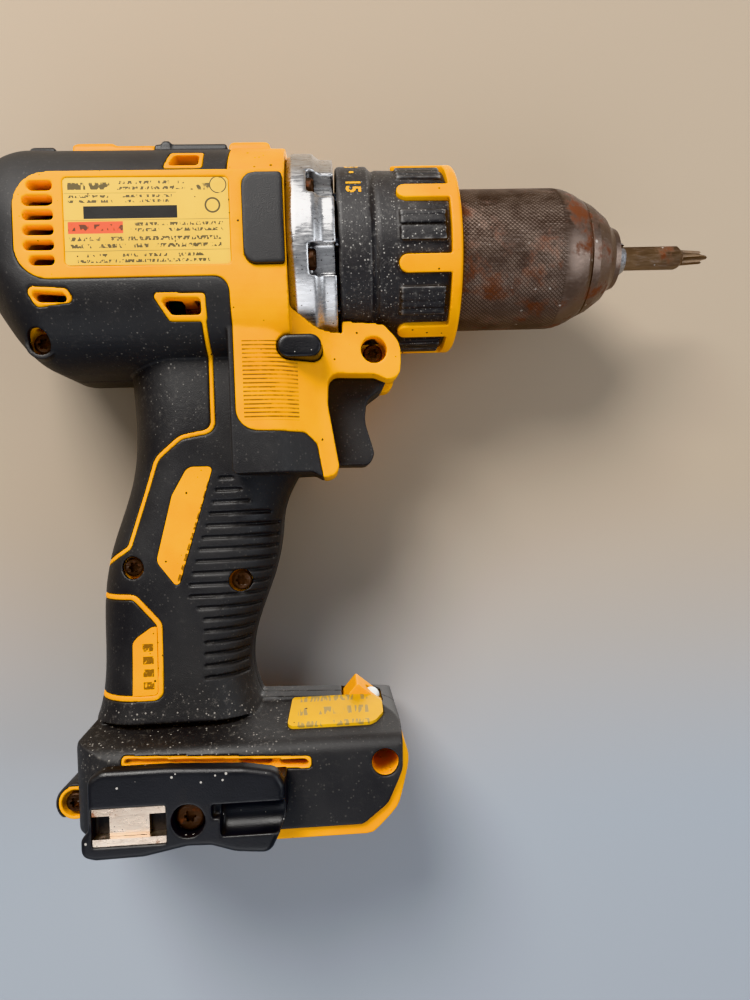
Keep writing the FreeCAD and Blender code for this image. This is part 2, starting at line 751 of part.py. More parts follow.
def tooth_points(module, teeth, phase, inside=False):
    """Outline of a gear as (radius, angle) points; inside gives a ring gear's hole."""
    pitch = module * teeth / 2
    base = pitch * math.cos(pressure)
    tip = pitch + 0.8 * module
    root = pitch - 1.05 * module
    if inside:
        tip = pitch + 1.05 * module
        root = pitch - 0.8 * module
    slack = backlash / 2 / pitch
    half = math.pi / (2 * teeth) + (slack / 2 if inside else -slack / 2)
    points = []
    for i in range(teeth):
        centre = phase + 2 * math.pi * i / teeth
        flank = []
        for radius in (max(root, base * 1.001), pitch, tip):
            angle = involute(radius, base) - involute(pitch, base)
            flank.append((radius, half - angle))
        if root < base:
            flank.insert(0, (root, flank[0][1]))
        points += [(r, centre - a) for r, a in flank]
        points += [(r, centre + a) for r, a in reversed(flank)]
    return points


def involute(radius, base):
    a = math.acos(min(1.0, base / radius))
    return math.tan(a) - a


def toothed(points, x0, length, y=0.0, z=0.0):
    corners = [at(x0, y + r * math.cos(a), z + r * math.sin(a)) for r, a in points]
    corners.append(corners[0])
    return Part.Face(Part.makePolygon(corners)).extrude(at(length, 0, 0))


def ring_gear(stage, outer):
    module, _, planet, teeth, x0, length = stage
    phase = 0.0 if planet % 2 == 0 else math.pi / teeth
    phase += math.pi / teeth
    hole = toothed(tooth_points(module, teeth, phase, inside=True), x0 - 1.6, length + 2.2)
    return rod(x0 - 0.6, x0 + length + 0.2, outer).cut(hole)


def build_ring_gear_shift():
    """Second ring gear, with the groove that the speed selector's tongue moves it by."""
    groove = tube(tongue_back - 0.1, tongue_back + tongue_len + 0.1, ring_r + 1, ring_r - 1.2)
    return ring_gear(stage_2, ring_r - 0.1).cut(groove)


def sun_gear(stage, x0, length):
    module, teeth = stage[0], stage[1]
    return toothed(tooth_points(module, teeth, 0.0), x0, length)


def planet_gears(stage):
    module, sun, teeth, _, x0, length = stage
    gears = []
    for i in range(planet_count):
        a = 2 * math.pi * i / planet_count
        y, z = orbit_r(stage) * math.cos(a), orbit_r(stage) * math.sin(a)
        phase = a + math.pi - math.pi / teeth + a * sun / teeth
        gear = toothed(tooth_points(module, teeth, phase), x0, length, y, z)
        bore = Part.makeCylinder(planet_pin_r + run_fit, length + 2, at(x0 - 1, y, z), at(1, 0, 0))
        gears.append(gear.cut(bore))
    return gears


def carrier(stage, radius):
    """Plate ahead of the planets with the pins that they turn on."""
    x0, length = stage[4], stage[5]
    plate = rod(x0 + length + 0.4, x0 + length + 0.4 + plate_thick, radius)
    pins = []
    for i in range(planet_count):
        a = 2 * math.pi * i / planet_count
        centre = at(x0 + 0.3, orbit_r(stage) * math.cos(a), orbit_r(stage) * math.sin(a))
        pins.append(Part.makeCylinder(planet_pin_r, length + 0.6, centre, at(1, 0, 0)))
    return plate.fuse(pins)


def plate_front_of(stage):
    return stage[4] + stage[5] + 0.4 + plate_thick


nose_r = 13.6                            # gear case nose that the clutch nut runs on
nose_front = collar_front - 1.2
spindle_bearing_r = 11.2
case_wall_back = plate_front_of(stage_3) + 0.6
clutch_pin_r = 1.6
clutch_pin_orbit = 19.2


def build_gear_case():
    """Die-cast case with its recesses for the mounting screws, and the threaded nose."""
    profile = [(gearbox_back, 0), (gearbox_back, case_body_r), (case_back, case_body_r),
               (case_back, case_r - 1.6), (case_back + 1.2, case_r - 0.5), (case_back + 2.0, case_r),
               (case_back + 7.6, case_r), (case_back + 9.6, case_front_r),
               (collar_back - 0.5, case_front_r), (collar_back - 0.5, nose_r + 1.4),
               (collar_back + 1.0, nose_r), (nose_front, nose_r), (nose_front, 0)]
    case = turned(profile)
    cuts = [rod(gearbox_back - 1, case_wall_back, ring_r + seat_gap),
            rod(case_wall_back - 1, nose_front + 1, spindle_r + 0.5),
            rod(collar_back - 3.0, nose_front + 1, spindle_bearing_r + seat_gap)]
    recess = block(case_back + 6.0, collar_back + 1, -case_r - 2, -24.8, -4.2, 4.2)
    screw_hole = Part.makeCylinder(1.65, 60, at(case_back - 30, -27.9, 0), at(1, 0, 0))
    for angle in case_screw_angles:
        for tool in (recess, screw_hole):
            copy = tool.copy()
            copy.rotate(at(0, 0, 0), at(1, 0, 0), angle)
            cuts.append(copy)
    pins = Part.makeCylinder(clutch_pin_r + run_fit, 40, at(case_wall_back - 3, 0, clutch_pin_orbit),
                             at(1, 0, 0))
    cuts += ring_of(pins, 6, 30.0)
    top = block(tongue_back - 1.0, tongue_back + tongue_len + selector_travel + 1.0, -1.8, 1.8,
                ring_r - 3, case_body_r + 3)
    cuts.append(top)
    grooves = []
    x = collar_back + 14.0
    while x < nose_front - 2.0:
        groove = turned([(x, nose_r - 0.5), (x + 0.6, nose_r + 0.3), (x - 0.6, nose_r + 0.3)])
        grooves.append(groove)
        x += 2.0
    return case.cut(cuts + grooves)


case_screw_angles = [15.0, -28.0, 165.0, 208.0]      # about the spindle, from the tool's side


def case_screw_holes(radius):
    holes = []
    for angle in case_screw_angles:
        hole = Part.makeCylinder(radius, 12.0, at(case_back - 11.0, -27.9, 0), at(1, 0, 0))
        hole.rotate(at(0, 0, 0), at(1, 0, 0), angle)
        holes.append(hole)
    return holes


def build_case_screws():
    screws = []
    for angle in case_screw_angles:
        screw = pan_screw(2.9, 2.0, 1.6, 16.0)
        screw.rotate(at(0, 0, 0), at(0, 0, 1), 90)
        screw.translate(at(case_back + 6.0, -27.9, 0))
        screw.rotate(at(0, 0, 0), at(1, 0, 0), angle)
        screws.append(screw)
    return screws


# --- Clutch -------------------------------------------------------------------
collar_in = collar_r - collar_wall
nut_back = collar_back + 16.0
nut_len = 6.0
key_r = collar_in + 1.2                  # bottom of the keyways inside the collar
finger_count = 8


def build_collar():
    """Clutch collar: number band behind, fluted grip ahead, keyways inside."""
    band_end = collar_back + 10.0
    profile = [(collar_back + 0.2, collar_in), (collar_back + 0.2, collar_r + 0.5),
               (collar_back + 1.0, collar_r + 1.1), (band_end - 0.8, collar_r + 1.1),
               (band_end, collar_r + 0.2), (band_end + 0.9, collar_r - 0.5),
               (band_end + 1.8, collar_r), (collar_front - 3.2, collar_r - 0.4),
               (collar_front - 3.2, collar_r - 1.4), (collar_front - 2.4, nose_r + 3.0),
               (collar_front - 3.0, nose_r + 3.0), (collar_front - 5.0, collar_in)]
    collar = turned(profile)
    pads = []
    for i in range(finger_count):
        a = 40.5 + 360.0 / finger_count * i
        for k in range(4):
            rib = block(band_end + 7.6, collar_front - 4.6, -0.8, 0.8, collar_r - 1.5, collar_r + 0.9)
            rib.rotate(at(0, 0, 0), at(1, 0, 0), a + (k - 1.5) * 4.9)
            pads.append(rib)
    keyway = block(collar_back - 1, collar_front - 5.2, -2.0, 2.0, 0, key_r + 0.1)
    ways = ring_of(keyway.cut(rod(collar_back - 2, collar_front, collar_in - 1)), 3, 0.0)
    return collar.fuse(pads).cut(ways + [build_collar_ring()])


def build_collar_ring():
    """Yellow front band of the collar with its eight fingers."""
    band = turned([(collar_front - 3.1, collar_r - 1.3), (collar_front - 3.1, collar_r + finger_rise),
                   (collar_front - 0.8, collar_r + finger_rise), (collar_front, collar_r + 0.4),
                   (collar_front, spindle_bearing_r + 8.0), (collar_front - 2.3, spindle_bearing_r + 8.0)])
    fingers = []
    length = 18.0
    width = 5.0
    for i in range(finger_count):
        core = block(collar_front - length + width / 2, collar_front - 3.0, -width / 2, width / 2,
                     collar_r - 1.0, collar_r + 8)
        end = Part.makeCylinder(width / 2, 9, at(collar_front - length + width / 2, 0, collar_r - 1.0),
                                at(0, 0, 1))
        finger = core.fuse(end)
        finger.rotate(at(0, 0, 0), at(1, 0, 0), 18.0 + 360.0 / finger_count * i)
        fingers.append(finger)
    outer = rod(collar_front - 40, collar_front, collar_r + finger_rise)
    body_of_fingers = fingers[0].fuse(fingers[1:]).common(outer)
    return band.fuse(body_of_fingers)


def build_clutch_nut():
    """Nut that presses the clutch spring, keyed to the collar."""
    ring = tube(nut_back, nut_back + nut_len, collar_in - 0.6, nose_r + 0.08)
    key = block(nut_back, nut_back + nut_len, -1.6, 1.6, collar_in - 3, key_r - 0.35)
    return ring.fuse(ring_of(key, 3))


spring_wire_r = 1.3
spring_r = 17.6
clutch_plate_back = collar_back + 2.4


def coil(x0, x1, radius, wire_r, turns, centre=None):
    """Compression spring along X between two stations, as short straight lengths of wire."""
    rise = (x1 - x0 - 2 * wire_r) / turns
    steps = int(20 * turns)
    start = Part.Wire(Part.makeCircle(wire_r, at(x0 + wire_r, 0, radius), at(0, 1, 0)))
    rings = []
    for i in range(steps + 1):
        ring = start.copy()
        ring.rotate(at(0, 0, 0), at(1, 0, 0), -360.0 * turns * i / steps)
        ring.translate(at(rise * turns * i / steps, 0, 0))
        rings.append(ring)
    spring = Part.makeLoft(rings, True, True)
    if centre:
        spring.translate(centre)
    return spring


def build_clutch_pins():
    back = stage_3[4] + stage_3[5] + 0.3
    pin = Part.makeCylinder(clutch_pin_r, clutch_plate_back - back, at(back, 0, clutch_pin_orbit),
                            at(1, 0, 0))
    return ring_of(pin, 6, 30.0)


# --- Spindle and chuck --------------------------------------------------------
slope = math.tan(math.radians(jaw_angle))
jaw_reach = 2.8                          # jaw tips ahead of the mouth
jaw_axis_r = 2.6                         # distance of the jaw's axis from the spindle at the mouth
jaw_len = 31.0
nut_x0 = -33.0
nut_x1 = -25.0
sleeve_in = 18.6
lip_r = 17.0                             # front of the chuck body, inside the sleeve


def jaw_radius_at(x, extra=0.0):
    """Distance from the spindle to the outside of a jaw at one station."""
    return jaw_axis_r - x * slope + (jaw_r + extra) / math.cos(math.radians(jaw_angle))


def jaw_cylinder(radius, x0, x1):
    """Cylinder on a jaw's sloping axis between two stations, above the spindle."""
    start = at(x0, 0, jaw_axis_r - x0 * slope)
    along = at(1, 0, -slope)
    length = (x1 - x0) * along.Length
    return Part.makeCylinder(radius, length, start, along)


def build_spindle():
    """Output spindle with the drive plate of the last planet stage."""
    back = plate_front_of(stage_3)
    shaft = turned([(back - 0.2, 0), (back - 0.2, spindle_r), (collar_front - 1.0, spindle_r),
                    (collar_front - 1.0, spindle_thread_r), (-35.5, spindle_thread_r),
                    (-35.0, spindle_thread_r - 0.5), (-35.0, 0)])
    bore = rod(-52.0, -34.0, 2.6)
    return carrier(stage_3, 16.4).fuse(shaft).cut(bore)


def build_chuck_body():
    nose = [(-0.6, 7.6), (-0.6, 9.2), (-2.4, 9.9), (-3.4, 10.9), (-5.2, 13.2), (-9.6, 16.4),
            (-12.2, 17.6), (-12.6, 17.2), (-12.9, lip_r), (nut_x1 + 0.4, lip_r), (nut_x1 + 0.4, 13.6),
            (nut_x0 - 0.4, 13.6), (nut_x0 - 0.4, 12.6), (-46.0, 12.6), (-49.6, 11.0), (-51.8, 11.0),
            (-51.8, 0), (-1.6, 0), (-1.6, 7.0)]
    solid = turned(nose)
    bore = jaw_cylinder(jaw_r + run_fit, -52.0, 8.0)
    cuts = ring_of(bore, 3)
    cuts.append(rod(-33.0, 1, chuck_bore_r))
    cuts.append(rod(-52.5, -32.9, spindle_thread_r + 0.03))
    return solid.cut(cuts)


def build_jaws():
    """Three jaws: round bars on sloping axes, cut to a wedge at the spindle and flat on the bit."""
    jaws = []
    grip = bit_across / 2 + 0.03
    for i in range(3):
        bar = jaw_cylinder(jaw_r, jaw_reach - jaw_len, jaw_reach + 3)
        bar = bar.common(block(-60, jaw_reach, -30, 30, grip, 30))
        tip = turned([(jaw_reach - 3.2, 0), (jaw_reach - 3.2, 6.6), (jaw_reach, 4.6), (jaw_reach + 1, 0)])
        body_part = bar.common(block(-60, jaw_reach - 3.2, -30, 30, 0, 30))
        nose_part = bar.common(tip)
        bar = body_part.fuse(nose_part)
        keep = Part.Face(Part.makePolygon([at(-60, 0, 0.35), at(-60, -30, 17.67), at(-60, -30, 40),
                                           at(-60, 30, 40), at(-60, 30, 17.67), at(-60, 0, 0.35)]))
        bar = bar.common(keep.extrude(at(90, 0, 0)))
        teeth = []
        for k in range(8):
            x = nut_x1 + 2.0 - 1.6 * k
            r = jaw_radius_at(x)
            teeth.append(turned([(x, r - 0.45), (x + 0.5, r + 1.2), (x - 0.5, r + 1.4)]))
        bar = bar.cut(teeth)
        bar.rotate(at(0, 0, 0), at(1, 0, 0), 120.0 * i)
        jaws.append(bar)
    return jaws


def build_chuck_nut():
    gap = 0.12
    return turned([(nut_x0, jaw_radius_at(nut_x0, gap)), (nut_x0, sleeve_in - 0.02),
                   (nut_x1, sleeve_in - 0.02), (nut_x1, jaw_radius_at(nut_x1, gap))])


def build_sleeve():
    back = -chuck_len
    profile = [(back, sleeve_in), (back, sleeve_r - 0.6), (back + 0.6, sleeve_r), (-21.5, sleeve_r),
               (-20.8, sleeve_r - 0.35), (-17.0, sleeve_r - 0.7), (-14.4, sleeve_r - 1.9),
               (-12.9, sleeve_r - 3.1), (-12.9, lip_r + run_fit), (nut_x1 + 0.6, lip_r + run_fit),
               (nut_x1 + 0.6, sleeve_in)]
    return turned(profile)


def build_chuck_screw():
    head = rod(-33.0, -30.2, 4.6)
    shank = rod(-50.0, -33.0, 2.5)
    slot = block(-31.6, -30.0, -5, 5, -0.6, 0.6)
    return head.fuse(shank).cut(slot)


def build_bit():
    """Hex screwdriver bit: the flats face the jaws, the tip is a cross point."""
    corners = []
    r = bit_across / math.sqrt(3)
    for i in range(7):
        a = math.radians(60 * i)
        corners.append(at(-24.0, r * math.cos(a), r * math.sin(a)))
    hexed = Part.Face(Part.makePolygon(corners)).extrude(at(24.0 + bit_out, 0, 0))
    tip = bit_out
    outer = turned([(-24.0, 0), (-24.0, r - 0.8), (-23.2, r + 0.2), (tip - 11.0, r + 0.2),
                    (tip - 9.2, 2.4), (tip - 2.6, 2.0), (tip - 0.4, 0.5), (tip, 0)])
    bit = hexed.common(outer)
    flutes = []
    for i in range(4):
        flute = Part.makeCylinder(1.3, 12.0, at(tip - 9.0, 0, 2.5), at(1, 0, -0.1))
        flute.rotate(at(0, 0, 0), at(1, 0, 0), 45 + 90 * i)
        flutes.append(flute)
    return bit.cut(flutes)


# --- Motor --------------------------------------------------------------------
stator_bore_r = rotor_r + air_gap
yoke = 3.6
tooth_w = 3.4


def build_stator():
    core = tube(stator_back, stator_front, motor_r, motor_r - yoke)
    tooth = block(stator_back, stator_front, -tooth_w / 2, tooth_w / 2, stator_bore_r, motor_r - yoke + 1)
    shoe = block(stator_back, stator_front, -2.7, 2.7, stator_bore_r - 1, stator_bore_r + 1.6)
    shoe = shoe.cut(rod(stator_back - 1, stator_front + 1, stator_bore_r))
    tooth = tooth.fuse(shoe)
    return core.fuse(ring_of(tooth, slots))


def build_windings():
    """One coil round each stator tooth, standing past the core at both ends."""
    over = 3.0
    gap = 0.25
    half = tooth_w / 2 + gap
    thick = 1.15
    z0 = stator_bore_r + 2.1
    z1 = motor_r - yoke - 0.5
    outer = block(stator_back - over, stator_front + over, -half - thick, half + thick, z0, z1)
    core = block(stator_back - 1.2, stator_front + 1.2, -half, half, z0 - 1, z1 + 1)
    return ring_of(outer.cut(core), slots)


def build_insulators():
    """End rings that carry the connection wires."""
    rings = []
    for x0, x1 in ((stator_back - 4.2, stator_back - 0.1), (stator_front + 0.1, stator_front + 4.0)):
        rings.append(tube(x0, x1, motor_r - 0.4, motor_r - yoke + 0.1))
    return rings


def build_rotor_core():
    return tube(stator_back + 1, stator_front - 1, rotor_r - 2.2, shaft_r)


def build_rotor_magnets():
    ring = tube(stator_back + 1, stator_front - 1, rotor_r, rotor_r - 2.2)
    gap = block(stator_back, stator_front, -0.6, 0.6, 0, rotor_r + 1)
    return ring.cut(ring_of(gap, 4)).Solids


def build_motor_shaft():
    """Motor shaft; its front end is cut as the first sun gear."""
    pinion_back = gearbox_back + 4.2
    shaft = rod(shaft_back, pinion_back, shaft_r)
    return shaft.fuse(sun_gear(stage_1, pinion_back, shaft_front - pinion_back))


def build_fan():
    hub = tube(fan_back, fan_front, 6.0, shaft_r)
    disc = tube(fan_front - 1.2, fan_front, 20.0, 5.5)
    blades = []
    for i in range(11):
        blade = block(fan_back + 0.6, fan_front - 1.0, -0.5, 0.5, 7.5, 20.0)
        blade.rotate(at(0, 0, 7.5), at(1, 0, 0), 28)
        blade.rotate(at(0, 0, 0), at(1, 0, 0), 360.0 / 11 * i)
        blades.append(blade)
    rim = rod(fan_back - 1, fan_front + 1, 21.4)
    return hub.fuse([disc] + [b.common(rim) for b in blades])


def build_bearing(x0, length, outer, inner):
    """Ball bearing: inner race, outer race and balls that fill the gap between them."""
    wide = outer - inner
    mid = (outer + inner) / 2
    ball_r = wide * 0.24
    outer_race = tube(x0, x0 + length, outer, outer - wide * 0.30)
    inner_race = tube(x0, x0 + length, inner + wide * 0.30, inner)
    balls = []
    for i in range(7):
        a = 2 * math.pi * i / 7
        centre = at(x0 + length / 2, mid * math.cos(a), mid * math.sin(a))
        balls.append(Part.makeSphere(ball_r * 0.78, centre))
    return [outer_race, inner_race] + balls


def build_motor_plate():
    """Plate between the motor and the gearbox that holds the front bearing."""
    plate = rod(plate_back, plate_front, case_body_r)
    seat = rod(plate_back - 1, plate_front - 0.8, bearing_r + seat_gap)
    holes = [seat, rod(plate_back, plate_front + 1, 4.5)]
    vent = Part.makeCylinder(2.0, 20, at(plate_back - 5, 0, 19.0), at(1, 0, 0))
    return plate.cut(holes + ring_of(vent, 6))


def build_sensor_board():
    board = tube(stator_back - 6.2, stator_back - 4.6, motor_r - 2.0, 13.0)
    chips = []
    for i in range(3):
        chip = block(stator_back - 4.6, stator_back - 3.4, -1.6, 1.6, 14.0, 17.0)
        chip.rotate(at(0, 0, 0), at(1, 0, 0), 60 * i + 45)
        chips.append(chip)
    return board.fuse(chips)


# --- Controls -----------------------------------------------------------------
front_of_nose = collar_front - 19.0
switch_front = front_of_nose - 33.6
switch_len = 18.0
switch_z0 = -63.4
switch_z1 = -42.0


def build_trigger():
    """Trigger, with the plunger that carries its movement into the switch."""
    solid = side_prism(trigger_outline(), -trigger_half, trigger_half)
    plan = [(front_of_nose - 33, -trigger_half, 0), (front_of_nose - 1, -trigger_half, 7),
            (front_of_nose - 1, trigger_half, 7), (front_of_nose - 33, trigger_half, 0)]
    rounded = Part.Face(rounded_wire(plan, lambda a, b: at(a, b, -80))).extrude(at(0, 0, 60))
    spring_hole = Part.makeCylinder(3.3, 7.1, at(front_of_nose - 28, 0, -50.5), at(1, 0, 0))
    plunger = Part.makeCylinder(1.7, 10.6, at(front_of_nose - 35.8, 0, -58.0), at(1, 0, 0))
    return solid.common(rounded).cut(spring_hole).fuse(plunger)


def build_switch():
    """Switch body behind the trigger, with the guide that its plunger runs in."""
    x1 = front_of_nose - 34.4
    box = block(x1 - switch_len, x1, -8.2, 8.2, switch_z0, switch_z1)
    bore = Part.makeCylinder(1.75, 14, at(x1 - trigger_travel - 4.5, 0, -58.0), at(1, 0, 0))
    lever_room = block(x1 - 8, x1 + 1, -6, 6, switch_z1 - 3.2, switch_z1 + 1)
    return box.cut([bore, lever_room])


def build_trigger_spring():
    x0 = front_of_nose - 34.3
    return coil(x0, front_of_nose - 21.0, 2.4, 0.4, 6, at(0, 0, -50.5))


def build_button():
    face = block_half_at_button + 3.0
    solid = side_prism(direction_button_outline(), -face, face)
    edges = [e for e in solid.Edges if abs(e.BoundBox.YMax - e.BoundBox.YMin) < 0.01]
    solid = solid.makeFillet(0.8, edges)
    x = block_back + 17.9
    bar = block(x - 4.5, x + 4.5, -14.0, 14.0, -36.0, -case_r - 0.8)
    for shift in (-button_shift, 0.0, button_shift):
        path = rod(x - 20, x + 20, case_r + 0.8)
        path.translate(at(0, shift, 0))
        solid = solid.cut(path)
    return solid.fuse(bar)


block_half_at_button = 24.9              # half width of the tool at the direction button


def build_selector():
    """Speed selector on top of the head: a finger pad, and a tongue into the gear case."""
    x0 = selector_back()
    high = head_top + selector_rise
    pad = block(x0, x0 + selector_len, -5.6, 5.6, head_top - 1.2, high)
    edges = [e for e in pad.Edges if e.BoundBox.ZMin > high - 0.2]
    pad = pad.makeFillet(1.4, edges)
    for i in range(3):
        x = x0 + 2.2 + 2.4 * i
        pad = pad.cut(block(x, x + 0.9, -4.2, 4.2, high - 0.8, high + 1))
    stem = block(tongue_back - 1, tongue_back + tongue_len, -3.0, 3.0, case_body_r + 0.6, head_top - 1.0)
    tongue = block(tongue_back, tongue_back + tongue_len, -1.4, 1.4, ring_r - 0.9, case_body_r + 1.0)
    return pad.fuse([stem, tongue])


# --- Foot, lamp and electronics -----------------------------------------------
def build_lamp_hood():
    """Hood over the work lamp, on top of the foot's front."""
    x = lamp_x
    outline = [(x - 5.6, foot_top - 9.0, 0), (x - 5.6, foot_top - 2.2, 0.6), (x - 1.4, foot_top + 2.6, 0.6),
               (x + 6.0, foot_top - 3.6, 0.6), (x + 6.0, foot_top - 9.0, 0)]
    hood = side_prism(outline, -6.8, 6.8)
    pocket = Part.makeCylinder(3.1, 9, at(x + 1.2, 0, foot_top - 5.2), at(0.64, 0, 0.77))
    return hood.cut(pocket)


def build_lamp_lens():
    base = at(lamp_x + 1.4, 0, foot_top - 5.0)
    along = at(0.64, 0, 0.77)
    return Part.makeCylinder(3.0, 3.2, base, along).fuse(Part.makeSphere(2.6, base + along * 2.6))


def build_control_module():
    x0 = foot_rear + 12
    return block(x0, x0 + 42, -17, 17, foot_base + 17.7, foot_base + 25.0)


def build_module_board():
    x0 = foot_rear + 14
    board = block(x0, x0 + 38, -15, 15, foot_base + 25.2, foot_base + 26.6)
    caps = []
    for i in range(3):
        caps.append(block(x0 + 4 + 11 * i, x0 + 11 + 11 * i, -5, 5, foot_base + 26.6, foot_base + 28.0))
    return board.fuse(caps)


def build_terminal_block():
    x0 = foot_rear + 6.6
    solid = block(x0, x0 + 26, -15, 15, foot_base + 5.5, foot_base + 14.8)
    cuts = []
    for i in range(5):
        y = -10.4 + 5.2 * i
        cuts.append(block(x0 + 6, x0 + 27, y - 1.2, y + 1.2, foot_base + 5.0, foot_base + 12.0))
    return solid.cut(cuts)


def build_terminal_blades():
    x0 = foot_rear + 6.6
    blades = []
    for i in range(5):
        y = -10.4 + 5.2 * i
        blades.append(block(x0 + 8, x0 + 24, y - 0.4, y + 0.4, foot_base + 6.0, foot_base + 11.9))
    return blades


def build_foot_plate():
    """Yellow data plate on the sloping front shoulder of the foot."""
    x0, x1 = foot_front - 34.5, foot_front - 6.8
    plan = [(x0, -20.6, 2), (x1 - 3, -20.6, 4), (x1, -16.0, 2), (x1, -6.8, 1), (x0 + 1, -6.8, 1)]
    wire = rounded_wire(plan, lambda a, b: at(a, b, foot_top - 12))
    zone = Part.Face(wire).extrude(at(0, 0, 24))
    return body(skin + 0.5, False).cut(body(skin - 0.6, False)).common(zone)


# --- Bit clip -----------------------------------------------------------------
clip_back = foot_rear + 7.2
clip_len = 51.6
clip_top = foot_top - 7.8
clip_y0 = -(foot_half + skin + 13.0)
clip_y1 = -(foot_half + skin + 0.3)
accessory_hole_r = 1.65                  # tapped hole on the left of the foot, across from the clip


def clip_screw_place():
    return clip_back + 27.0, clip_top - 13.5


def build_clip():
    """Magnetic bit holder that screws to the side of the foot."""
    x0, x1 = clip_back, clip_back + clip_len
    outline = [(x0, clip_top - 21.4, 2.5), (x0, clip_top - 17.0, 1.5), (x0 + 1.8, clip_top - 15.0, 1),
               (x0 + 2.0, clip_top - 7, 1), (x0 + 2.0, clip_top - 2.0, 2.5), (x0 + 5.6, clip_top + 0.2, 3),
               (x0 + 22.0, clip_top + 0.2, 4), (x1 - 10.0, clip_top - 0.8, 3), (x1 - 2.0, clip_top - 2.2, 3),
               (x1, clip_top - 6, 2), (x1 - 0.2, clip_top - 15.5, 2), (x1 - 4.2, clip_top - 23.2, 3),
               (x1 - 13.0, clip_top - 22.4, 3), (x1 - 19.0, clip_top - 20.4, 3),
               (x1 - 25.0, clip_top - 20.2, 3), (x1 - 36.0, clip_top - 22.2, 3),
               (x0 + 3.5, clip_top - 22.4, 2)]
    slab = side_prism(outline, clip_y0, clip_y1)
    edges = [e for e in slab.Edges if e.BoundBox.YMax < clip_y0 + 0.01]
    slab = slab.makeFillet(1.6, edges)
    z = clip_top - 14.0
    pocket = block(x0 + 3.0, x0 + 21.5, clip_y0 - 1, clip_y0 + 4.0, z - 4.8, z + 4.8)
    trough = Part.makeCylinder(3.9, clip_len + 10, at(x0 - 5, clip_y0 + 1.2, z), at(1, 0, 0))
    trough = trough.common(block(x0 - 5, x0 + 22.5, -60, 0, z - 6, z + 6))
    screw_x, screw_z = clip_screw_place()
    screw_seat = pin_y(screw_x, screw_z, 4.2, clip_y0 - 1, clip_y0 + 5.5)
    screw_hole = pin_y(screw_x, screw_z, 1.9, clip_y0 - 1, clip_y1 + 1)
    right = Part.makeCylinder(3.9, 30, at(x1 - 16.5, clip_y0 + 1.0, z), at(1, 0, 0))
    under = block(x0 + 33.0, x1 + 1, clip_y0 - 1, clip_y0 + 2.6, clip_top - 13.2, clip_top - 9.8)
    behind = block(x0 - 1, x1 + 1, clip_y0 + 4.5, clip_y1 + 1, clip_top - 5.5, clip_top + 5)
    return slab.cut([pocket, screw_seat, screw_hole, right, under, behind])


def build_clip_magnets():
    x0 = clip_back
    z = clip_top - 14.0
    plates = []
    for low, high in ((z - 4.7, z - 2.9), (z + 2.9, z + 4.7)):
        plates.append(block(x0 + 3.1, x0 + 21.4, clip_y0 + 0.5, clip_y0 + 3.9, low, high))
    magnet = block(x0 + 7.0, x0 + 17.0, clip_y0 + 2.0, clip_y0 + 3.9, z - 2.8, z + 2.8)
    return plates + [magnet]


def build_clip_screw():
    screw = pan_screw(3.8, 2.4, 1.85, 13.0)
    screw_x, screw_z = clip_screw_place()
    screw.translate(at(screw_x, clip_y0 + 5.5, screw_z))
    return screw


# --- Internal leads -----------------------------------------------------------
def lead(points, radius):
    """Insulated wire: straight runs joined by tangent arcs."""
    edges = []
    last = points[0]
    for i in range(1, len(points) - 1):
        p, c, q = points[i - 1], points[i], points[i + 1]
        u = (p - c)
        v = (q - c)
        lu, lv = u.Length, v.Length
        u.normalize()
        v.normalize()
        half = math.acos(u.dot(v)) / 2
        bend = 0.45 * min(lu, lv) * math.tan(half)
        reach = bend / math.tan(half)
        start = c + u * reach
        end = c + v * reach
        middle = u + v
        middle.normalize()
        mid = c + middle * (bend / math.sin(half) - bend)
        edges.append(Part.makeLine(last, start))
        edges.append(Part.Arc(start, mid, end).toShape())
        last = end
    edges.append(Part.makeLine(last, points[-1]))
    path = Part.Wire(edges)
    way = points[1] - points[0]
    circle = Part.Wire(Part.makeCircle(radius, points[0], way))
    return path.makePipeShell([circle], True, True)


def build_battery_leads():
    leads = []
    for y in (-4.0, 4.0):
        leads.append(lead([at(case_back - 40.0, y, foot_base + 28.6),
                           at(case_back - 40.0, y, grip_station(0.88)),
                           at(case_back - 35.0, y, grip_station(0.66)), at(switch_front - 14.4, y, -80.0),
                           at(switch_front - 14.4, y, switch_z0 - 0.3)], 1.4))
    return leads


def build_motor_leads():
    leads = []
    for y in (-4.5, 0.0, 4.5):
        leads.append(lead([at(switch_front - 13.4, y, switch_z1 + 0.3), at(switch_front - 13.4, y, -36.0),
                           at(case_back - 21.0, y, -32.0),
                           at(stator_front + 2.4, y, -29.5), at(stator_front + 2.4, y, -25.3)], 1.2))
    return leads


# --- The assembly, one entry per node -----------------------------------------
def gearbox_nodes():
    sun_2 = sun_gear(stage_2, plate_front_of(stage_1) - 0.1, stage_2[5] + 1.0)
    sun_3_len = stage_3[4] + stage_3[5] - plate_front_of(stage_2)
    sun_3 = sun_gear(stage_3, plate_front_of(stage_2) - 0.1, sun_3_len)
    nodes = {
        "gear_case": build_gear_case(),
        "gear_case_screws": build_case_screws(),
        "ring_gears_fixed": [ring_gear(stage_1, ring_r), ring_gear(stage_3, ring_r)],
        "ring_gear_shift": build_ring_gear_shift(),
        "carrier_1": carrier(stage_1, 15.6).fuse(sun_2),
        "carrier_2": carrier(stage_2, 16.0).fuse(sun_3),
        "spindle": build_spindle(),
    }
    for number, stage in enumerate(stages, 1):
        for letter, gear in zip("abc", planet_gears(stage)):
            nodes["planet_%d%s" % (number, letter)] = gear
    return nodes


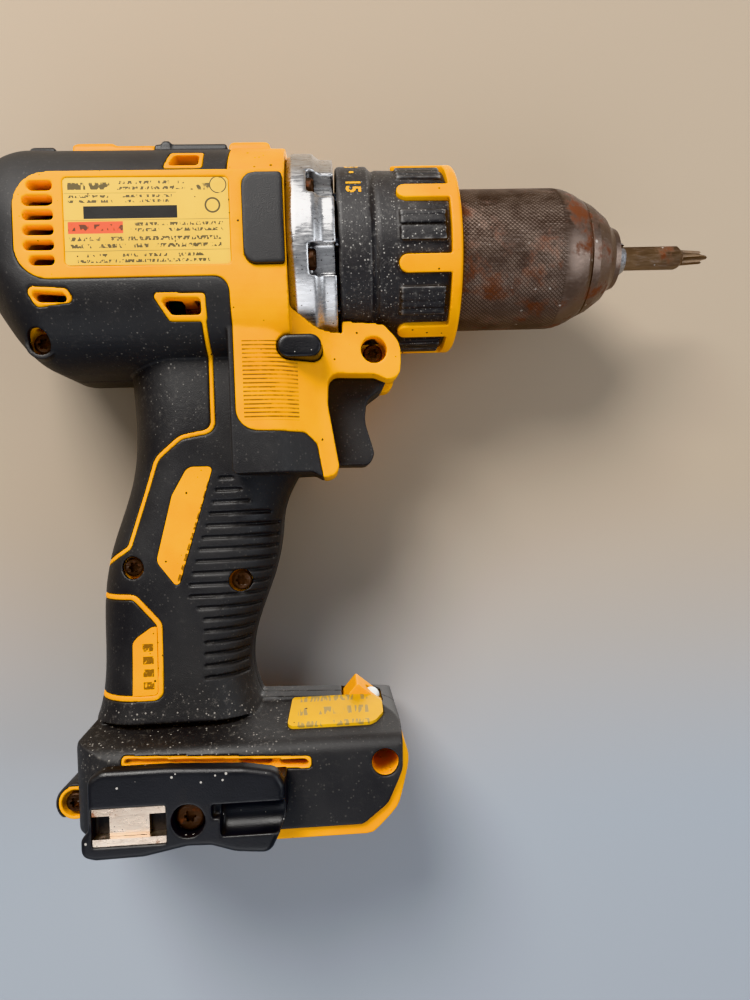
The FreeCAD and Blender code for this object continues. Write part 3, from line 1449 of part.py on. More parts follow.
def clutch_nodes():
    return {
        "clutch_collar": build_collar(),
        "clutch_collar_ring": build_collar_ring(),
        "clutch_nut": build_clutch_nut(),
        "clutch_spring": coil(clutch_plate_back + 1.3, nut_back - 0.1, spring_r, spring_wire_r, 3),
        "clutch_plate": tube(clutch_plate_back, clutch_plate_back + 1.2, 21.6, nose_r + 0.4),
        "clutch_pins": build_clutch_pins(),
    }


def chuck_nodes():
    nodes = {
        "chuck_body": build_chuck_body(),
        "chuck_sleeve": build_sleeve(),
        "chuck_nut": build_chuck_nut(),
        "chuck_screw": build_chuck_screw(),
        "driver_bit": build_bit(),
    }
    for number, jaw in enumerate(build_jaws(), 1):
        nodes["jaw_%d" % number] = jaw
    return nodes


def motor_nodes():
    bearings = build_bearing(plate_back + 0.3, 3.2, bearing_r, shaft_r + 0.02)
    bearings += build_bearing(rear_bearing_back, bearing_len, bearing_r, shaft_r + 0.02)
    bearings += build_bearing(collar_back - 2.9, 6.0, spindle_bearing_r, spindle_r + 0.02)
    bearings += build_bearing(nose_front - 6.5, 6.0, spindle_bearing_r, spindle_r + 0.02)
    return {
        "stator_core": build_stator(),
        "stator_windings": build_windings(),
        "stator_end_rings": build_insulators() + [build_sensor_board()],
        "rotor_core": [build_rotor_core()] + build_rotor_magnets(),
        "motor_shaft": build_motor_shaft(),
        "motor_fan": build_fan(),
        "motor_plate": build_motor_plate(),
        "ball_bearings": bearings,
    }


def control_nodes():
    return {
        "trigger": build_trigger(),
        "trigger_spring": build_trigger_spring(),
        "switch_body": build_switch(),
        "direction_button": build_button(),
        "speed_selector": build_selector(),
        "lamp_hood": build_lamp_hood(),
        "lamp_lens": build_lamp_lens(),
        "control_module": [build_control_module(), build_module_board()],
        "terminal_block": build_terminal_block(),
        "terminal_blades": build_terminal_blades(),
        "inner_leads": build_battery_leads() + build_motor_leads(),
        "foot_plate": build_foot_plate(),
        "bit_clip": build_clip(),
        "bit_clip_magnets": build_clip_magnets(),
        "body_screws": build_screws() + [build_clip_screw()],
    }


def export(nodes):
    os.makedirs("parts", exist_ok=True)
    for name, shape in nodes.items():
        if isinstance(shape, list):
            shape = Part.makeCompound(shape)
        if not shape.isValid() or not shape.Solids:
            raise ValueError(name + " is not a sound solid")
        print(name, len(shape.Solids), round(shape.Volume))
        shape.exportStep("parts/" + name + ".step")


assembly = {}
assembly.update(gearbox_nodes())
assembly.update(clutch_nodes())
assembly.update(chuck_nodes())
assembly.update(motor_nodes())
assembly.update(control_nodes())
assembly.update(build_moulding())
print(len(assembly), "nodes")
export(assembly)
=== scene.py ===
import json
import math
import bmesh
import bpy
import numpy as np
from mathutils import Matrix, Vector
from mathutils.bvhtree import BVHTree

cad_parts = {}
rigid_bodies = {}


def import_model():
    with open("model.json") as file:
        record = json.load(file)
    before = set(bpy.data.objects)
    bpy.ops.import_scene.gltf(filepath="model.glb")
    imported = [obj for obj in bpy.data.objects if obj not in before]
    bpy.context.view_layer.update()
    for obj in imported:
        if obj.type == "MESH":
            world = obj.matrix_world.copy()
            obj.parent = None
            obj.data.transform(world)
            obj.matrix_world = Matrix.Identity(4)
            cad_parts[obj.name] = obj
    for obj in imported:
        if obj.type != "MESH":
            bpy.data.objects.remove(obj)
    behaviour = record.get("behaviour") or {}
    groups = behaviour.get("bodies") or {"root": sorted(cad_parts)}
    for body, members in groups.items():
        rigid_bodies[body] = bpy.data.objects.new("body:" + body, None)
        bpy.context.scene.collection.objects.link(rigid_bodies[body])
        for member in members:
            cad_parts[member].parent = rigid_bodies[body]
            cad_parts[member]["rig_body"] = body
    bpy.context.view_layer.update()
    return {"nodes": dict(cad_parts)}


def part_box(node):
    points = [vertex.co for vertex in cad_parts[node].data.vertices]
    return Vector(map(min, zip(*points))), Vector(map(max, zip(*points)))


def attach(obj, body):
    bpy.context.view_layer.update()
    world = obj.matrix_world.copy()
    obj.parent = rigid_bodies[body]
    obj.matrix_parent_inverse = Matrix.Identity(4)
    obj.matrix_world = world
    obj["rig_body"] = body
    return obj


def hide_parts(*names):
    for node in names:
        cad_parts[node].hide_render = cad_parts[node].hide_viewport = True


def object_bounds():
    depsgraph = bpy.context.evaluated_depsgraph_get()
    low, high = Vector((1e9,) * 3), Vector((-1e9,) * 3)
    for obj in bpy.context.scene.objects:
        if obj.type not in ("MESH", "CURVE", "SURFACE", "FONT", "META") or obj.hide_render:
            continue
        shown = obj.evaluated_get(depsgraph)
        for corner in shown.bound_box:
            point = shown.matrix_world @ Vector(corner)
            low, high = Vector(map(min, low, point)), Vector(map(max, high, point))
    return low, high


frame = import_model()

mm = 0.001
print("frame loaded:", len(frame["nodes"]), "nodes")



def linear(red, green, blue):
    return tuple((v / 255 / 12.92) if v <= 10 else ((v / 255 + 0.055) / 1.055) ** 2.4
                 for v in (red, green, blue)) + (1.0,)


def newPiece(name, bm, body, material, smooth=True):
    mesh = bpy.data.meshes.new(name)
    bm.to_mesh(mesh)
    bm.free()
    mesh.materials.append(material)
    if smooth:
        mesh.polygons.foreach_set("use_smooth", [True] * len(mesh.polygons))
    piece = bpy.data.objects.new(name, mesh)
    bpy.context.scene.collection.objects.link(piece)
    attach(piece, body)
    return piece


def pointsOf(mesh, kind="co"):
    values = np.empty(len(mesh.vertices) * 3, np.float32)
    mesh.vertices.foreach_get(kind, values)
    return values.reshape(-1, 3).astype(float)


def pointValues(mesh, name, values):
    attribute = mesh.attributes.new(name, "FLOAT", "POINT")
    attribute.data.foreach_set("value", np.asarray(values, np.float32))


def addNode(tree, kind, **settings):
    node = tree.nodes.new("ShaderNode" + kind)
    for key, value in settings.items():
        setattr(node, key, value)
    return node


def plug(tree, socket, value):
    if isinstance(value, bpy.types.NodeSocket):
        tree.links.new(value, socket)
    elif value is not None:
        socket.default_value = value


def mathOf(tree, operation, *values, clamp=False):
    node = addNode(tree, "Math", operation=operation, use_clamp=clamp)
    for socket, value in zip(node.inputs, values):
        plug(tree, socket, value)
    return node.outputs[0]


def mixColour(tree, share, low, high, blend="MIX"):
    node = addNode(tree, "Mix", data_type="RGBA", blend_type=blend)
    plug(tree, node.inputs[0], share)
    plug(tree, node.inputs[6], low)
    plug(tree, node.inputs[7], high)
    return node.outputs[2]


def ramp(tree, value, low, high, start=0.0, end=1.0):
    node = addNode(tree, "MapRange", interpolation_type="SMOOTHSTEP")
    for socket, number in zip(node.inputs, (value, low, high, start, end)):
        plug(tree, socket, number)
    return node.outputs[0]


def noise(tree, where, scale, detail=3.0, rough=0.55):
    node = addNode(tree, "TexNoise")
    plug(tree, node.inputs["Vector"], where)
    plug(tree, node.inputs["Scale"], scale)
    plug(tree, node.inputs["Detail"], detail)
    plug(tree, node.inputs["Roughness"], rough)
    return node.outputs["Fac"]


def newGroup(name, inputs, outputs):
    tree = bpy.data.node_groups.new(name, "ShaderNodeTree")
    for label, kind, value in inputs:
        socket = tree.interface.new_socket(label, in_out="INPUT", socket_type="NodeSocket" + kind)
        if value is not None:
            socket.default_value = value
    for label, kind in outputs:
        tree.interface.new_socket(label, in_out="OUTPUT", socket_type="NodeSocket" + kind)
    return tree, tree.nodes.new("NodeGroupInput"), tree.nodes.new("NodeGroupOutput")


# one used-surface group: rubbed edges lightened as wear and as a painted highlight, dirt in corners, fine specks,
# tone and grain
usedTree, given, made = newGroup("usedSurface", [
    ("Where", "Vector", None), ("Rub And Highlight", "Float", 0.5), ("Grime", "Float", 0.5), ("Specks", "Float", 0.2),
    ("Speck Scale", "Float", 900.0), ("Grain Scale", "Float", 2200.0)],
    [("Rubbed And Highlight", "Float"), ("Grimy", "Float"), ("Specked", "Float"), ("Tone", "Float"), ("Grain", "Float")])
# edge mask: convex edges get a lighter colour, partly wear and partly a painted highlight
edge = addNode(usedTree, "Attribute", attribute_name="edgeWearAndHighlight").outputs["Fac"]
cavity = addNode(usedTree, "Attribute", attribute_name="cavity").outputs["Fac"]
patchy = noise(usedTree, given.outputs["Where"], 160.0, 5.0, 0.62)
rubbed = mathOf(usedTree, "MULTIPLY", edge, given.outputs["Rub And Highlight"])
rubbed = mathOf(usedTree, "MULTIPLY", rubbed, ramp(usedTree, patchy, 0.36, 0.62), clamp=True)
plug(usedTree, made.inputs["Rubbed And Highlight"], rubbed)
grimy = mathOf(usedTree, "MULTIPLY", cavity, ramp(usedTree, patchy, 0.25, 0.55, 0.45, 1.0))
smear = ramp(usedTree, noise(usedTree, given.outputs["Where"], 42.0, 6.0, 0.7), 0.56, 0.80)
grimy = mathOf(usedTree, "ADD", grimy, mathOf(usedTree, "MULTIPLY", smear, 0.35))
plug(usedTree, made.inputs["Grimy"], mathOf(usedTree, "MULTIPLY", grimy, given.outputs["Grime"], clamp=True))
cells = addNode(usedTree, "TexVoronoi", voronoi_dimensions="3D", feature="F1")
plug(usedTree, cells.inputs["Vector"], given.outputs["Where"])
plug(usedTree, cells.inputs["Scale"], given.outputs["Speck Scale"])
chance = addNode(usedTree, "SeparateColor")
plug(usedTree, chance.inputs[0], cells.outputs["Color"])
picked = mathOf(usedTree, "LESS_THAN", chance.outputs[0], given.outputs["Specks"])
size = mathOf(usedTree, "MULTIPLY_ADD", chance.outputs[1], 0.32, 0.10)
spot = ramp(usedTree, mathOf(usedTree, "SUBTRACT", size, cells.outputs["Distance"]), 0.0, 0.12)
plug(usedTree, made.inputs["Specked"], mathOf(usedTree, "MULTIPLY", picked, spot, clamp=True))
plug(usedTree, made.inputs["Tone"], noise(usedTree, given.outputs["Where"], 28.0, 4.0, 0.6))
plug(usedTree, made.inputs["Grain"], noise(usedTree, given.outputs["Where"], given.outputs["Grain Scale"], 2.0, 0.5))


def startMaterial(name, finish):
    material = bpy.data.materials.new(name)
    material.use_nodes = True
    tree = material.node_tree
    shader = tree.nodes["Principled BSDF"]
    where = addNode(tree, "TexCoord").outputs["Object"]
    used = addNode(tree, "Group", node_tree=usedTree)
    plug(tree, used.inputs["Where"], where)
    for key in ("Rub And Highlight", "Grime", "Specks", "Speck Scale", "Grain Scale"):
        if key in finish:
            used.inputs[key].default_value = finish[key]
    for key in ("IOR", "Coat Weight", "Coat Roughness", "Anisotropic", "Transmission Weight",
                "Specular IOR Level", "Sheen Weight"):
        if key in finish:
            shader.inputs[key].default_value = finish[key]
    return material, tree, shader, where, used


def endMaterial(tree, shader, colour, roughness, height, metal=None, strength=0.3, distance=0.0002):
    plug(tree, shader.inputs["Base Color"], colour)
    plug(tree, shader.inputs["Roughness"], roughness)
    if metal is not None:
        plug(tree, shader.inputs["Metallic"], metal)
    bump = addNode(tree, "Bump")
    bump.inputs["Strength"].default_value = strength
    bump.inputs["Distance"].default_value = distance
    plug(tree, bump.inputs["Height"], height)
    plug(tree, shader.inputs["Normal"], bump.outputs["Normal"])


def mouldedMaterial(name, finish, marks=None):
    material, tree, shader, where, used = startMaterial(name, finish)
    colour = mixColour(tree, ramp(tree, used.outputs["Tone"], 0.3, 0.7), finish["dark"], finish["light"])
    relief = None
    if marks:
        colour, relief = marks(tree, where, colour)
    # convex edges lightened: wear plus a painted edge highlight
    colour = mixColour(tree, used.outputs["Rubbed And Highlight"], colour, finish["rubbed"])
    colour = mixColour(tree, used.outputs["Grimy"], colour, finish["dirt"])
    specks = used.outputs["Specked"]
    if finish.get("zone"):
        zone = addNode(tree, "Attribute", attribute_name="dust").outputs["Fac"]
        specks = mathOf(tree, "MULTIPLY", specks, zone)
        haze = ramp(tree, noise(tree, where, 700.0, 6.0, 0.75), 0.52, 0.78)
        haze = mathOf(tree, "MULTIPLY", haze, mathOf(tree, "MULTIPLY", zone, 0.55), clamp=True)
        colour = mixColour(tree, haze, colour, finish["speck"])
    colour = mixColour(tree, specks, colour, finish["speck"])
    low, high = finish["roughness"]
    rough = ramp(tree, used.outputs["Tone"], 0.3, 0.72, low, high)
    rough = mathOf(tree, "ADD", rough, mathOf(tree, "MULTIPLY", used.outputs["Grimy"], 0.25), clamp=True)
    height = mathOf(tree, "ADD", mathOf(tree, "MULTIPLY", used.outputs["Grain"], 0.7),
                    mathOf(tree, "MULTIPLY", specks, 0.35))
    if relief:
        height = mathOf(tree, "ADD", height, relief)
    endMaterial(tree, shader, colour, rough, height, strength=finish["bump"], distance=finish.get("depth", 0.0002))
    return material


def axesOf(tree, where):
    split = addNode(tree, "SeparateXYZ")
    plug(tree, split.inputs[0], where)
    return split.outputs[0], split.outputs[1], split.outputs[2]


def between(tree, value, low, high, soft=0.05 * mm):
    up = ramp(tree, value, low - soft, low + soft)
    return mathOf(tree, "MULTIPLY", up, ramp(tree, value, high - soft, high + soft, 1.0, 0.0))


def patch(tree, x, z, box):
    along = between(tree, x, box[0] * mm, box[1] * mm)
    upward = between(tree, z, box[2] * mm, box[3] * mm)
    return mathOf(tree, "MULTIPLY", along, upward)


def lines(tree, x, z, box, rows, letter=0.42, ink=0.50):
    pitch = (box[3] - box[2]) * mm / rows
    row = mathOf(tree, "DIVIDE", mathOf(tree, "SUBTRACT", z, box[2] * mm), pitch)
    inRow = between(tree, mathOf(tree, "FRACT", row), 0.22, 0.78, 0.04)
    spot = addNode(tree, "CombineXYZ")
    plug(tree, spot.inputs[0], x)
    plug(tree, spot.inputs[1], mathOf(tree, "MULTIPLY", mathOf(tree, "FLOOR", row), 0.013))
    plug(tree, spot.inputs[2], mathOf(tree, "MULTIPLY", z, 0.6))
    glyph = ramp(tree, noise(tree, spot.outputs[0], 0.5 / (letter * mm), 1.0, 0.5), ink - 0.03, ink + 0.03)
    word = ramp(tree, noise(tree, spot.outputs[0], 0.09 / (letter * mm), 0.0, 0.5), 0.36, 0.40)
    return mathOf(tree, "MULTIPLY", mathOf(tree, "MULTIPLY", glyph, word),
                  mathOf(tree, "MULTIPLY", inRow, patch(tree, x, z, box)))


def add(tree, *masks):
    total = masks[0]
    for mask in masks[1:]:
        total = mathOf(tree, "MAXIMUM", total, mask)
    return total


platePrint = {
    "ink": linear(52, 46, 34), "warm": linear(226, 92, 44), "rule": linear(120, 100, 56),
    "rows": [((-158.6, -147.6, 9.9, 13.3), 1, 0.75), ((-145.8, -128.0, 10.2, 13.2), 2, 0.36),
             ((-158.6, -131.5, 6.9, 9.5), 2, 0.34), ((-126.6, -121.6, 9.6, 12.8), 1, 0.8),
             ((-142.6, -118.4, -0.9, 2.2), 2, 0.34), ((-158.6, -119.0, -5.2, -1.4), 2, 0.36),
             ((-156.6, -122.0, -9.0, -6.0), 2, 0.33)],
    "bar": (-154.7, -130.3, 2.95, 6.3), "barInk": linear(26, 24, 22), "block": (-158.8, -144.6, -0.9, 2.2),
    "rules": [(-159.6, -130.4, 9.62, 9.8), (-160.6, -116.8, 2.48, 2.66), (-160.6, -116.8, -5.66, -5.48)],
    "ring": (-121.0, 6.2, 1.6, 2.1), "dial": (-119.4, 11.6, 2.0, 2.3),
}


def plateMarks(tree, where, colour):
    x, _, z = axesOf(tree, where)
    plan = platePrint
    ink = add(tree, *[lines(tree, x, z, *row) for row in plan["rows"]])
    for cx, cz, inner, outer in (plan["ring"], plan["dial"]):
        gap = addNode(tree, "VectorMath", operation="DISTANCE")
        flat = addNode(tree, "CombineXYZ")
        plug(tree, flat.inputs[0], x)
        plug(tree, flat.inputs[2], z)
        plug(tree, gap.inputs[0], flat.outputs[0])
        gap.inputs[1].default_value = (cx * mm, 0, cz * mm)
        ink = add(tree, ink, between(tree, gap.outputs["Value"], inner * mm, outer * mm))
    worn = ramp(tree, noise(tree, where, 300.0, 6.0, 0.7), 0.30, 0.42)
    rules = add(tree, *[patch(tree, x, z, rule) for rule in plan["rules"]])
    colour = mixColour(tree, mathOf(tree, "MULTIPLY", rules, 0.8), colour, plan["rule"])
    colour = mixColour(tree, patch(tree, x, z, plan["block"]), colour, plan["warm"])
    ink = add(tree, ink, lines(tree, x, z, plan["block"], 1, 0.8, 0.54))
    colour = mixColour(tree, patch(tree, x, z, plan["bar"]), colour, plan["barInk"])
    strength = mathOf(tree, "MULTIPLY", ink, mathOf(tree, "MULTIPLY", worn, 0.88))
    return mixColour(tree, strength, colour, plan["ink"]), None


shellMarks = {"ribs": (-115.2, -100.4, -51.0, -29.2), "pitch": 1.15 * mm, "dirt": linear(120, 76, 10)}


def ribPatch(tree, where, colour):
    x, _, z = axesOf(tree, where)
    wave = mathOf(tree, "FRACT", mathOf(tree, "DIVIDE", z, shellMarks["pitch"]))
    groove = mathOf(tree, "MULTIPLY", between(tree, wave, 0.30, 0.70, 0.14), patch(tree, x, z, shellMarks["ribs"]))
    stain = ramp(tree, noise(tree, where, 170.0, 6.0, 0.7), 0.36, 0.60, 0.30, 0.95)
    colour = mixColour(tree, mathOf(tree, "MULTIPLY", groove, stain), colour, shellMarks["dirt"])
    return colour, mathOf(tree, "MULTIPLY", groove, -1.6)


badgePrint = {"ink": linear(92, 58, 22), "turn": math.radians(-70.5), "centre": (-133.2 * mm, 0, -80.3 * mm),
              "high": (-15.0, 15.0, -4.6, -1.2), "low": (-147.6, -144.6, -125.2, -111.0)}


def badgeMarks(tree, where, colour):
    slanted = addNode(tree, "Mapping", vector_type="TEXTURE")
    plug(tree, slanted.inputs["Vector"], where)
    slanted.inputs["Location"].default_value = badgePrint["centre"]
    slanted.inputs["Rotation"].default_value = (0, badgePrint["turn"], 0)
    along, _, across = axesOf(tree, slanted.outputs[0])
    x, _, z = axesOf(tree, where)
    bars = between(tree, mathOf(tree, "FRACT", mathOf(tree, "DIVIDE", along, 3.1 * mm)), 0.14, 0.84, 0.03)
    bars = mathOf(tree, "MULTIPLY", bars, patch(tree, along, across, badgePrint["high"]))
    blocks = between(tree, mathOf(tree, "FRACT", mathOf(tree, "DIVIDE", z, 3.6 * mm)), 0.2, 0.8, 0.03)
    blocks = mathOf(tree, "MULTIPLY", blocks, patch(tree, x, z, badgePrint["low"]))
    chipped = ramp(tree, noise(tree, where, 900.0, 4.0, 0.7), 0.40, 0.50)
    ink = mathOf(tree, "MULTIPLY", add(tree, bars, blocks), mathOf(tree, "MULTIPLY", chipped, 0.85))
    return mixColour(tree, ink, colour, badgePrint["ink"]), None


footPrint = {"ink": linear(120, 112, 84), "rows": ((-104.6, -84.0, -140.0, -126.0), 7, 0.5)}


def footMarks(tree, where, colour):
    x, _, z = axesOf(tree, where)
    ink = lines(tree, x, z, *footPrint["rows"])
    return mixColour(tree, mathOf(tree, "MULTIPLY", ink, 0.7), colour, footPrint["ink"]), None


def metalMaterial(name, finish):
    material, tree, shader, where, used = startMaterial(name, finish)
    stretched = addNode(tree, "Mapping")
    plug(tree, stretched.inputs["Vector"], where)
    stretched.inputs["Scale"].default_value = finish.get("stretch", (1.0, 6.0, 6.0))
    stretched.inputs["Rotation"].default_value = (0.3, 0.9, 0.2)
    streaks = noise(tree, stretched.outputs[0], 260.0, 8.0, 0.7)
    rust = noise(tree, where, finish.get("rustScale", 110.0), 8.0, 0.68)
    rusty = ramp(tree, rust, 1.0 - finish["rust"], 1.12 - finish["rust"])
    colour = mixColour(tree, ramp(tree, used.outputs["Tone"], 0.3, 0.7), finish["dark"], finish["light"])
    colour = mixColour(tree, mathOf(tree, "MULTIPLY", ramp(tree, streaks, 0.5, 0.75), 0.5), colour, finish["streak"])
    colour = mixColour(tree, rusty, colour, finish["rustColour"])
    colour = mixColour(tree, used.outputs["Grimy"], colour, finish["dirt"])
    # convex edges lightened: wear plus a painted edge highlight
    colour = mixColour(tree, used.outputs["Rubbed And Highlight"], colour, finish["rubbed"])
    colour = mixColour(tree, used.outputs["Specked"], colour, finish["speck"])
    low, high = finish["roughness"]
    rough = ramp(tree, streaks, 0.35, 0.7, low, high)
    rough = mathOf(tree, "ADD", rough, mathOf(tree, "MULTIPLY", rusty, 0.35), clamp=True)
    metal = mathOf(tree, "SUBTRACT", 1.0, mathOf(tree, "MULTIPLY", rusty, 0.8), clamp=True)
    metal = mathOf(tree, "SUBTRACT", metal, mathOf(tree, "MULTIPLY", used.outputs["Grimy"], 0.6), clamp=True)
    height = mathOf(tree, "ADD", mathOf(tree, "MULTIPLY", rust, 0.8), mathOf(tree, "MULTIPLY", streaks, 0.4))
    endMaterial(tree, shader, colour, rough, height, metal, finish["bump"], finish.get("depth", 0.0002))
    return material


# each finish's rubbed colour lightens convex edges: part wear, part painted highlight
yellowFinish = {
    "dark": linear(232, 152, 0), "light": linear(250, 176, 0), "rubbed": linear(252, 190, 24),
    "dirt": linear(104, 62, 12), "speck": linear(74, 46, 16), "roughness": (0.42, 0.56), "bump": 0.25,
    "Specular IOR Level": 0.28,
    "Rub And Highlight": 0.35, "Grime": 0.85, "Specks": 0.05, "Speck Scale": 900.0, "Grain Scale": 2600.0,
}
rubberFinish = {
    "dark": linear(30, 29, 30), "light": linear(46, 45, 45), "rubbed": linear(76, 73, 71),
    "dirt": linear(54, 50, 46), "speck": linear(150, 144, 136), "roughness": (0.46, 0.64), "bump": 0.40,
    "Rub And Highlight": 0.30, "Grime": 0.30, "Specks": 0.28, "Speck Scale": 1250.0, "Grain Scale": 3000.0, "zone": True,
}
plasticFinish = {
    "dark": linear(16, 16, 18), "light": linear(28, 28, 31), "rubbed": linear(78, 76, 74),
    "dirt": linear(70, 62, 52), "speck": linear(168, 164, 158), "roughness": (0.34, 0.52), "bump": 0.30,
    "Rub And Highlight": 0.45, "Grime": 0.40, "Specks": 0.05, "Speck Scale": 1100.0, "Grain Scale": 2600.0,
}
collarFinish = dict(plasticFinish, **{
    "dark": linear(30, 29, 31), "light": linear(50, 48, 48), "rubbed": linear(138, 136, 134), "Rub And Highlight": 0.8,
    "Specks": 0.42, "Speck Scale": 1500.0, "bump": 0.55, "roughness": (0.38, 0.62), "zone": True,
})
caseFinish = {
    "dark": linear(172, 172, 174), "light": linear(218, 217, 216), "streak": linear(240, 240, 240),
    "rustColour": linear(96, 66, 44), "dirt": linear(62, 52, 46), "rubbed": linear(246, 246, 248),
    "speck": linear(88, 80, 76), "roughness": (0.24, 0.46), "bump": 0.40, "rust": 0.30,
    "Rub And Highlight": 0.6, "Grime": 0.95, "Specks": 0.10, "Speck Scale": 1500.0,
}
sleeveFinish = {
    "dark": linear(98, 84, 77), "light": linear(136, 120, 110), "streak": linear(158, 146, 138),
    "rustColour": linear(104, 60, 38), "dirt": linear(34, 27, 25), "rubbed": linear(168, 148, 134),
    "speck": linear(180, 170, 160), "roughness": (0.34, 0.55), "bump": 0.30, "rust": 0.50,
    "Rub And Highlight": 0.55, "Grime": 0.9, "Specks": 0.03, "Speck Scale": 700.0, "rustScale": 90.0,
}
gearFinish = dict(caseFinish, **{
    "dark": linear(120, 122, 126), "light": linear(165, 166, 170), "rust": 0.12, "Specks": 0.02, "bump": 0.15,
})
screwFinish = dict(sleeveFinish, **{
    "dark": linear(50, 42, 38), "light": linear(84, 66, 56), "rust": 0.46, "rubbed": linear(150, 140, 130),
    "rustScale": 420.0, "roughness": (0.42, 0.62),
})
clipMetalFinish = dict(caseFinish, **{
    "dark": linear(176, 150, 128), "light": linear(220, 204, 188), "rustColour": linear(128, 70, 34),
    "rust": 0.44, "rustScale": 260.0, "streak": linear(240, 232, 222),
})
copperFinish = dict(gearFinish, **{
    "dark": linear(150, 84, 48), "light": linear(196, 122, 76), "streak": linear(226, 160, 112),
})
plateFinish = dict(yellowFinish, **{
    "dark": linear(196, 160, 74), "light": linear(216, 182, 96), "rubbed": linear(226, 196, 120), "Grime": 0.6,
    "bump": 0.12,
})
boardFinish = dict(plasticFinish, **{"dark": linear(22, 62, 40), "light": linear(34, 88, 56)})
greyFinish = dict(plasticFinish, **{"dark": linear(150, 146, 138), "light": linear(178, 174, 166)})

looks = {
    "yellow_shell": mouldedMaterial("yellowShell", yellowFinish, ribPatch),
    "black_rubber": mouldedMaterial("blackRubber", rubberFinish),
    "black_plastic": mouldedMaterial("blackPlastic", plasticFinish),
    "collar": mouldedMaterial("collarPlastic", collarFinish),
    "gear_case_metal": metalMaterial("castCase", caseFinish),
    "chuck_metal": metalMaterial("chuckSteel", sleeveFinish),
    "jaw_metal": metalMaterial("jawSteel", dict(gearFinish, **{"rust": 0.42, "rustColour": linear(90, 58, 40)})),
    "bit_metal": metalMaterial("bitSteel", dict(sleeveFinish, **{"rust": 0.42, "light": linear(150, 124, 98)})),
    "screw_metal": metalMaterial("screwSteel", screwFinish),
    "gear_steel": metalMaterial("gearSteel", gearFinish),
    "spring_steel": metalMaterial("springSteel", dict(gearFinish, **{"dark": linear(90, 92, 98)})),
    "motor_steel": metalMaterial("motorSteel", dict(gearFinish, **{"dark": linear(70, 72, 78), "rust": 0.2})),
    "copper": metalMaterial("copperWire", copperFinish),
    "clip_metal": metalMaterial("clipMetal", clipMetalFinish),
    "board": mouldedMaterial("boardGreen", boardFinish),
    "data_plate": mouldedMaterial("dataPlate", plateFinish, plateMarks),
    "foot_plate": mouldedMaterial("footPlate", dict(plateFinish, **{
        "dark": linear(186, 140, 28), "light": linear(216, 168, 40)}), footMarks),
    "badge": mouldedMaterial("gripBadge", yellowFinish, badgeMarks),
    "collar_ink": mouldedMaterial("collarInk", dict(yellowFinish, **{"dark": linear(214, 176, 40), "Specks": 0.3})),
    "lamp_clear": mouldedMaterial("lampClear", dict(greyFinish, **{"dark": linear(200, 205, 205),
                                                                   "light": linear(225, 228, 226)})),
}
print("materials made:", len(bpy.data.materials))

# CAD nodes that keep their own mesh take the look of their slot, or the one named here
ownLooks = {"motor_fan": "black_plastic", "foot_plate": "foot_plate", "grip_badges": "badge"}
for name, node in frame["nodes"].items():
    own = node.data.materials[0].name.split(".")[0]
    look = looks.get(own)
    look = looks.get(ownLooks.get(name), look)
    for index in range(len(node.data.materials)):
        node.data.materials[index] = look


def spreadValues(values, a, b, degree, rounds):
    count = len(values)
    for _ in range(rounds):
        total = np.bincount(a, values[b], count) + np.bincount(b, values[a], count)
        values = 0.5 * values + 0.5 * total / degree
    return values


def markWear(mesh, edgeFrom=250.0, edgeTo=1100.0):
    points, normals = pointsOf(mesh), pointsOf(mesh, "normal")
    ends = np.empty(len(mesh.edges) * 2, np.int32)
    mesh.edges.foreach_get("vertices", ends)
    a, b = ends[::2], ends[1::2]
    count = len(points)
    degree = np.maximum(np.bincount(a, minlength=count) + np.bincount(b, minlength=count), 1)
    gap = points[b] - points[a]
    length = (gap * gap).sum(1)
    rise = np.bincount(a, -(gap * normals[a]).sum(1) * 2 / length, count)
    rise += np.bincount(b, (gap * normals[b]).sum(1) * 2 / length, count)
    bend = spreadValues(rise / degree, a, b, degree, 3)
    # the edge mask feeds a lighter edge colour: wear plus a painted highlight
    pointValues(mesh, "edgeWearAndHighlight", np.clip((bend - edgeFrom) / (edgeTo - edgeFrom), 0, 1))
    pointValues(mesh, "cavity", spreadValues(np.clip((-bend - 200.0) / 900.0, 0, 1), a, b, degree, 2))


def applied(piece):
    made = bpy.data.meshes.new_from_object(piece.evaluated_get(bpy.context.evaluated_depsgraph_get()))
    piece.modifiers.clear()
    piece.data = made
    return made


def mould(node, newName, material, voxel, rounds, limit, crease=None):
    source = bmesh.new()
    source.from_mesh(frame["nodes"][node].data)
    bmesh.ops.remove_doubles(source, verts=source.verts, dist=2e-6)
    piece = newPiece(newName, source, frame["nodes"][node]["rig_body"], material)
    remesh = piece.modifiers.new("soften", "REMESH")
    remesh.mode = "VOXEL"
    remesh.voxel_size = voxel
    remesh.adaptivity = 0.0
    bm = bmesh.new()
    bm.from_mesh(applied(piece))
    for _ in range(rounds):
        bmesh.ops.smooth_vert(bm, verts=bm.verts, factor=0.5, use_axis_x=True, use_axis_y=True, use_axis_z=True)
    bm.to_mesh(piece.data)
    bm.free()
    triangles = 2 * len(piece.data.polygons)
    if triangles > limit:
        thin = piece.modifiers.new("thin", "DECIMATE")
        thin.ratio = limit / triangles
        applied(piece)
    mesh = piece.data
    mesh.materials.clear()
    mesh.materials.append(material)
    mesh.polygons.foreach_set("use_smooth", [True] * len(mesh.polygons))
    markWear(mesh)
    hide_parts(node)
    print("moulded", newName, len(mesh.polygons), "faces")
    return piece


def blob(points, centre, reach):
    gap = (points - np.array(centre)) / np.array(reach)
    return np.exp(-(gap * gap).sum(1))


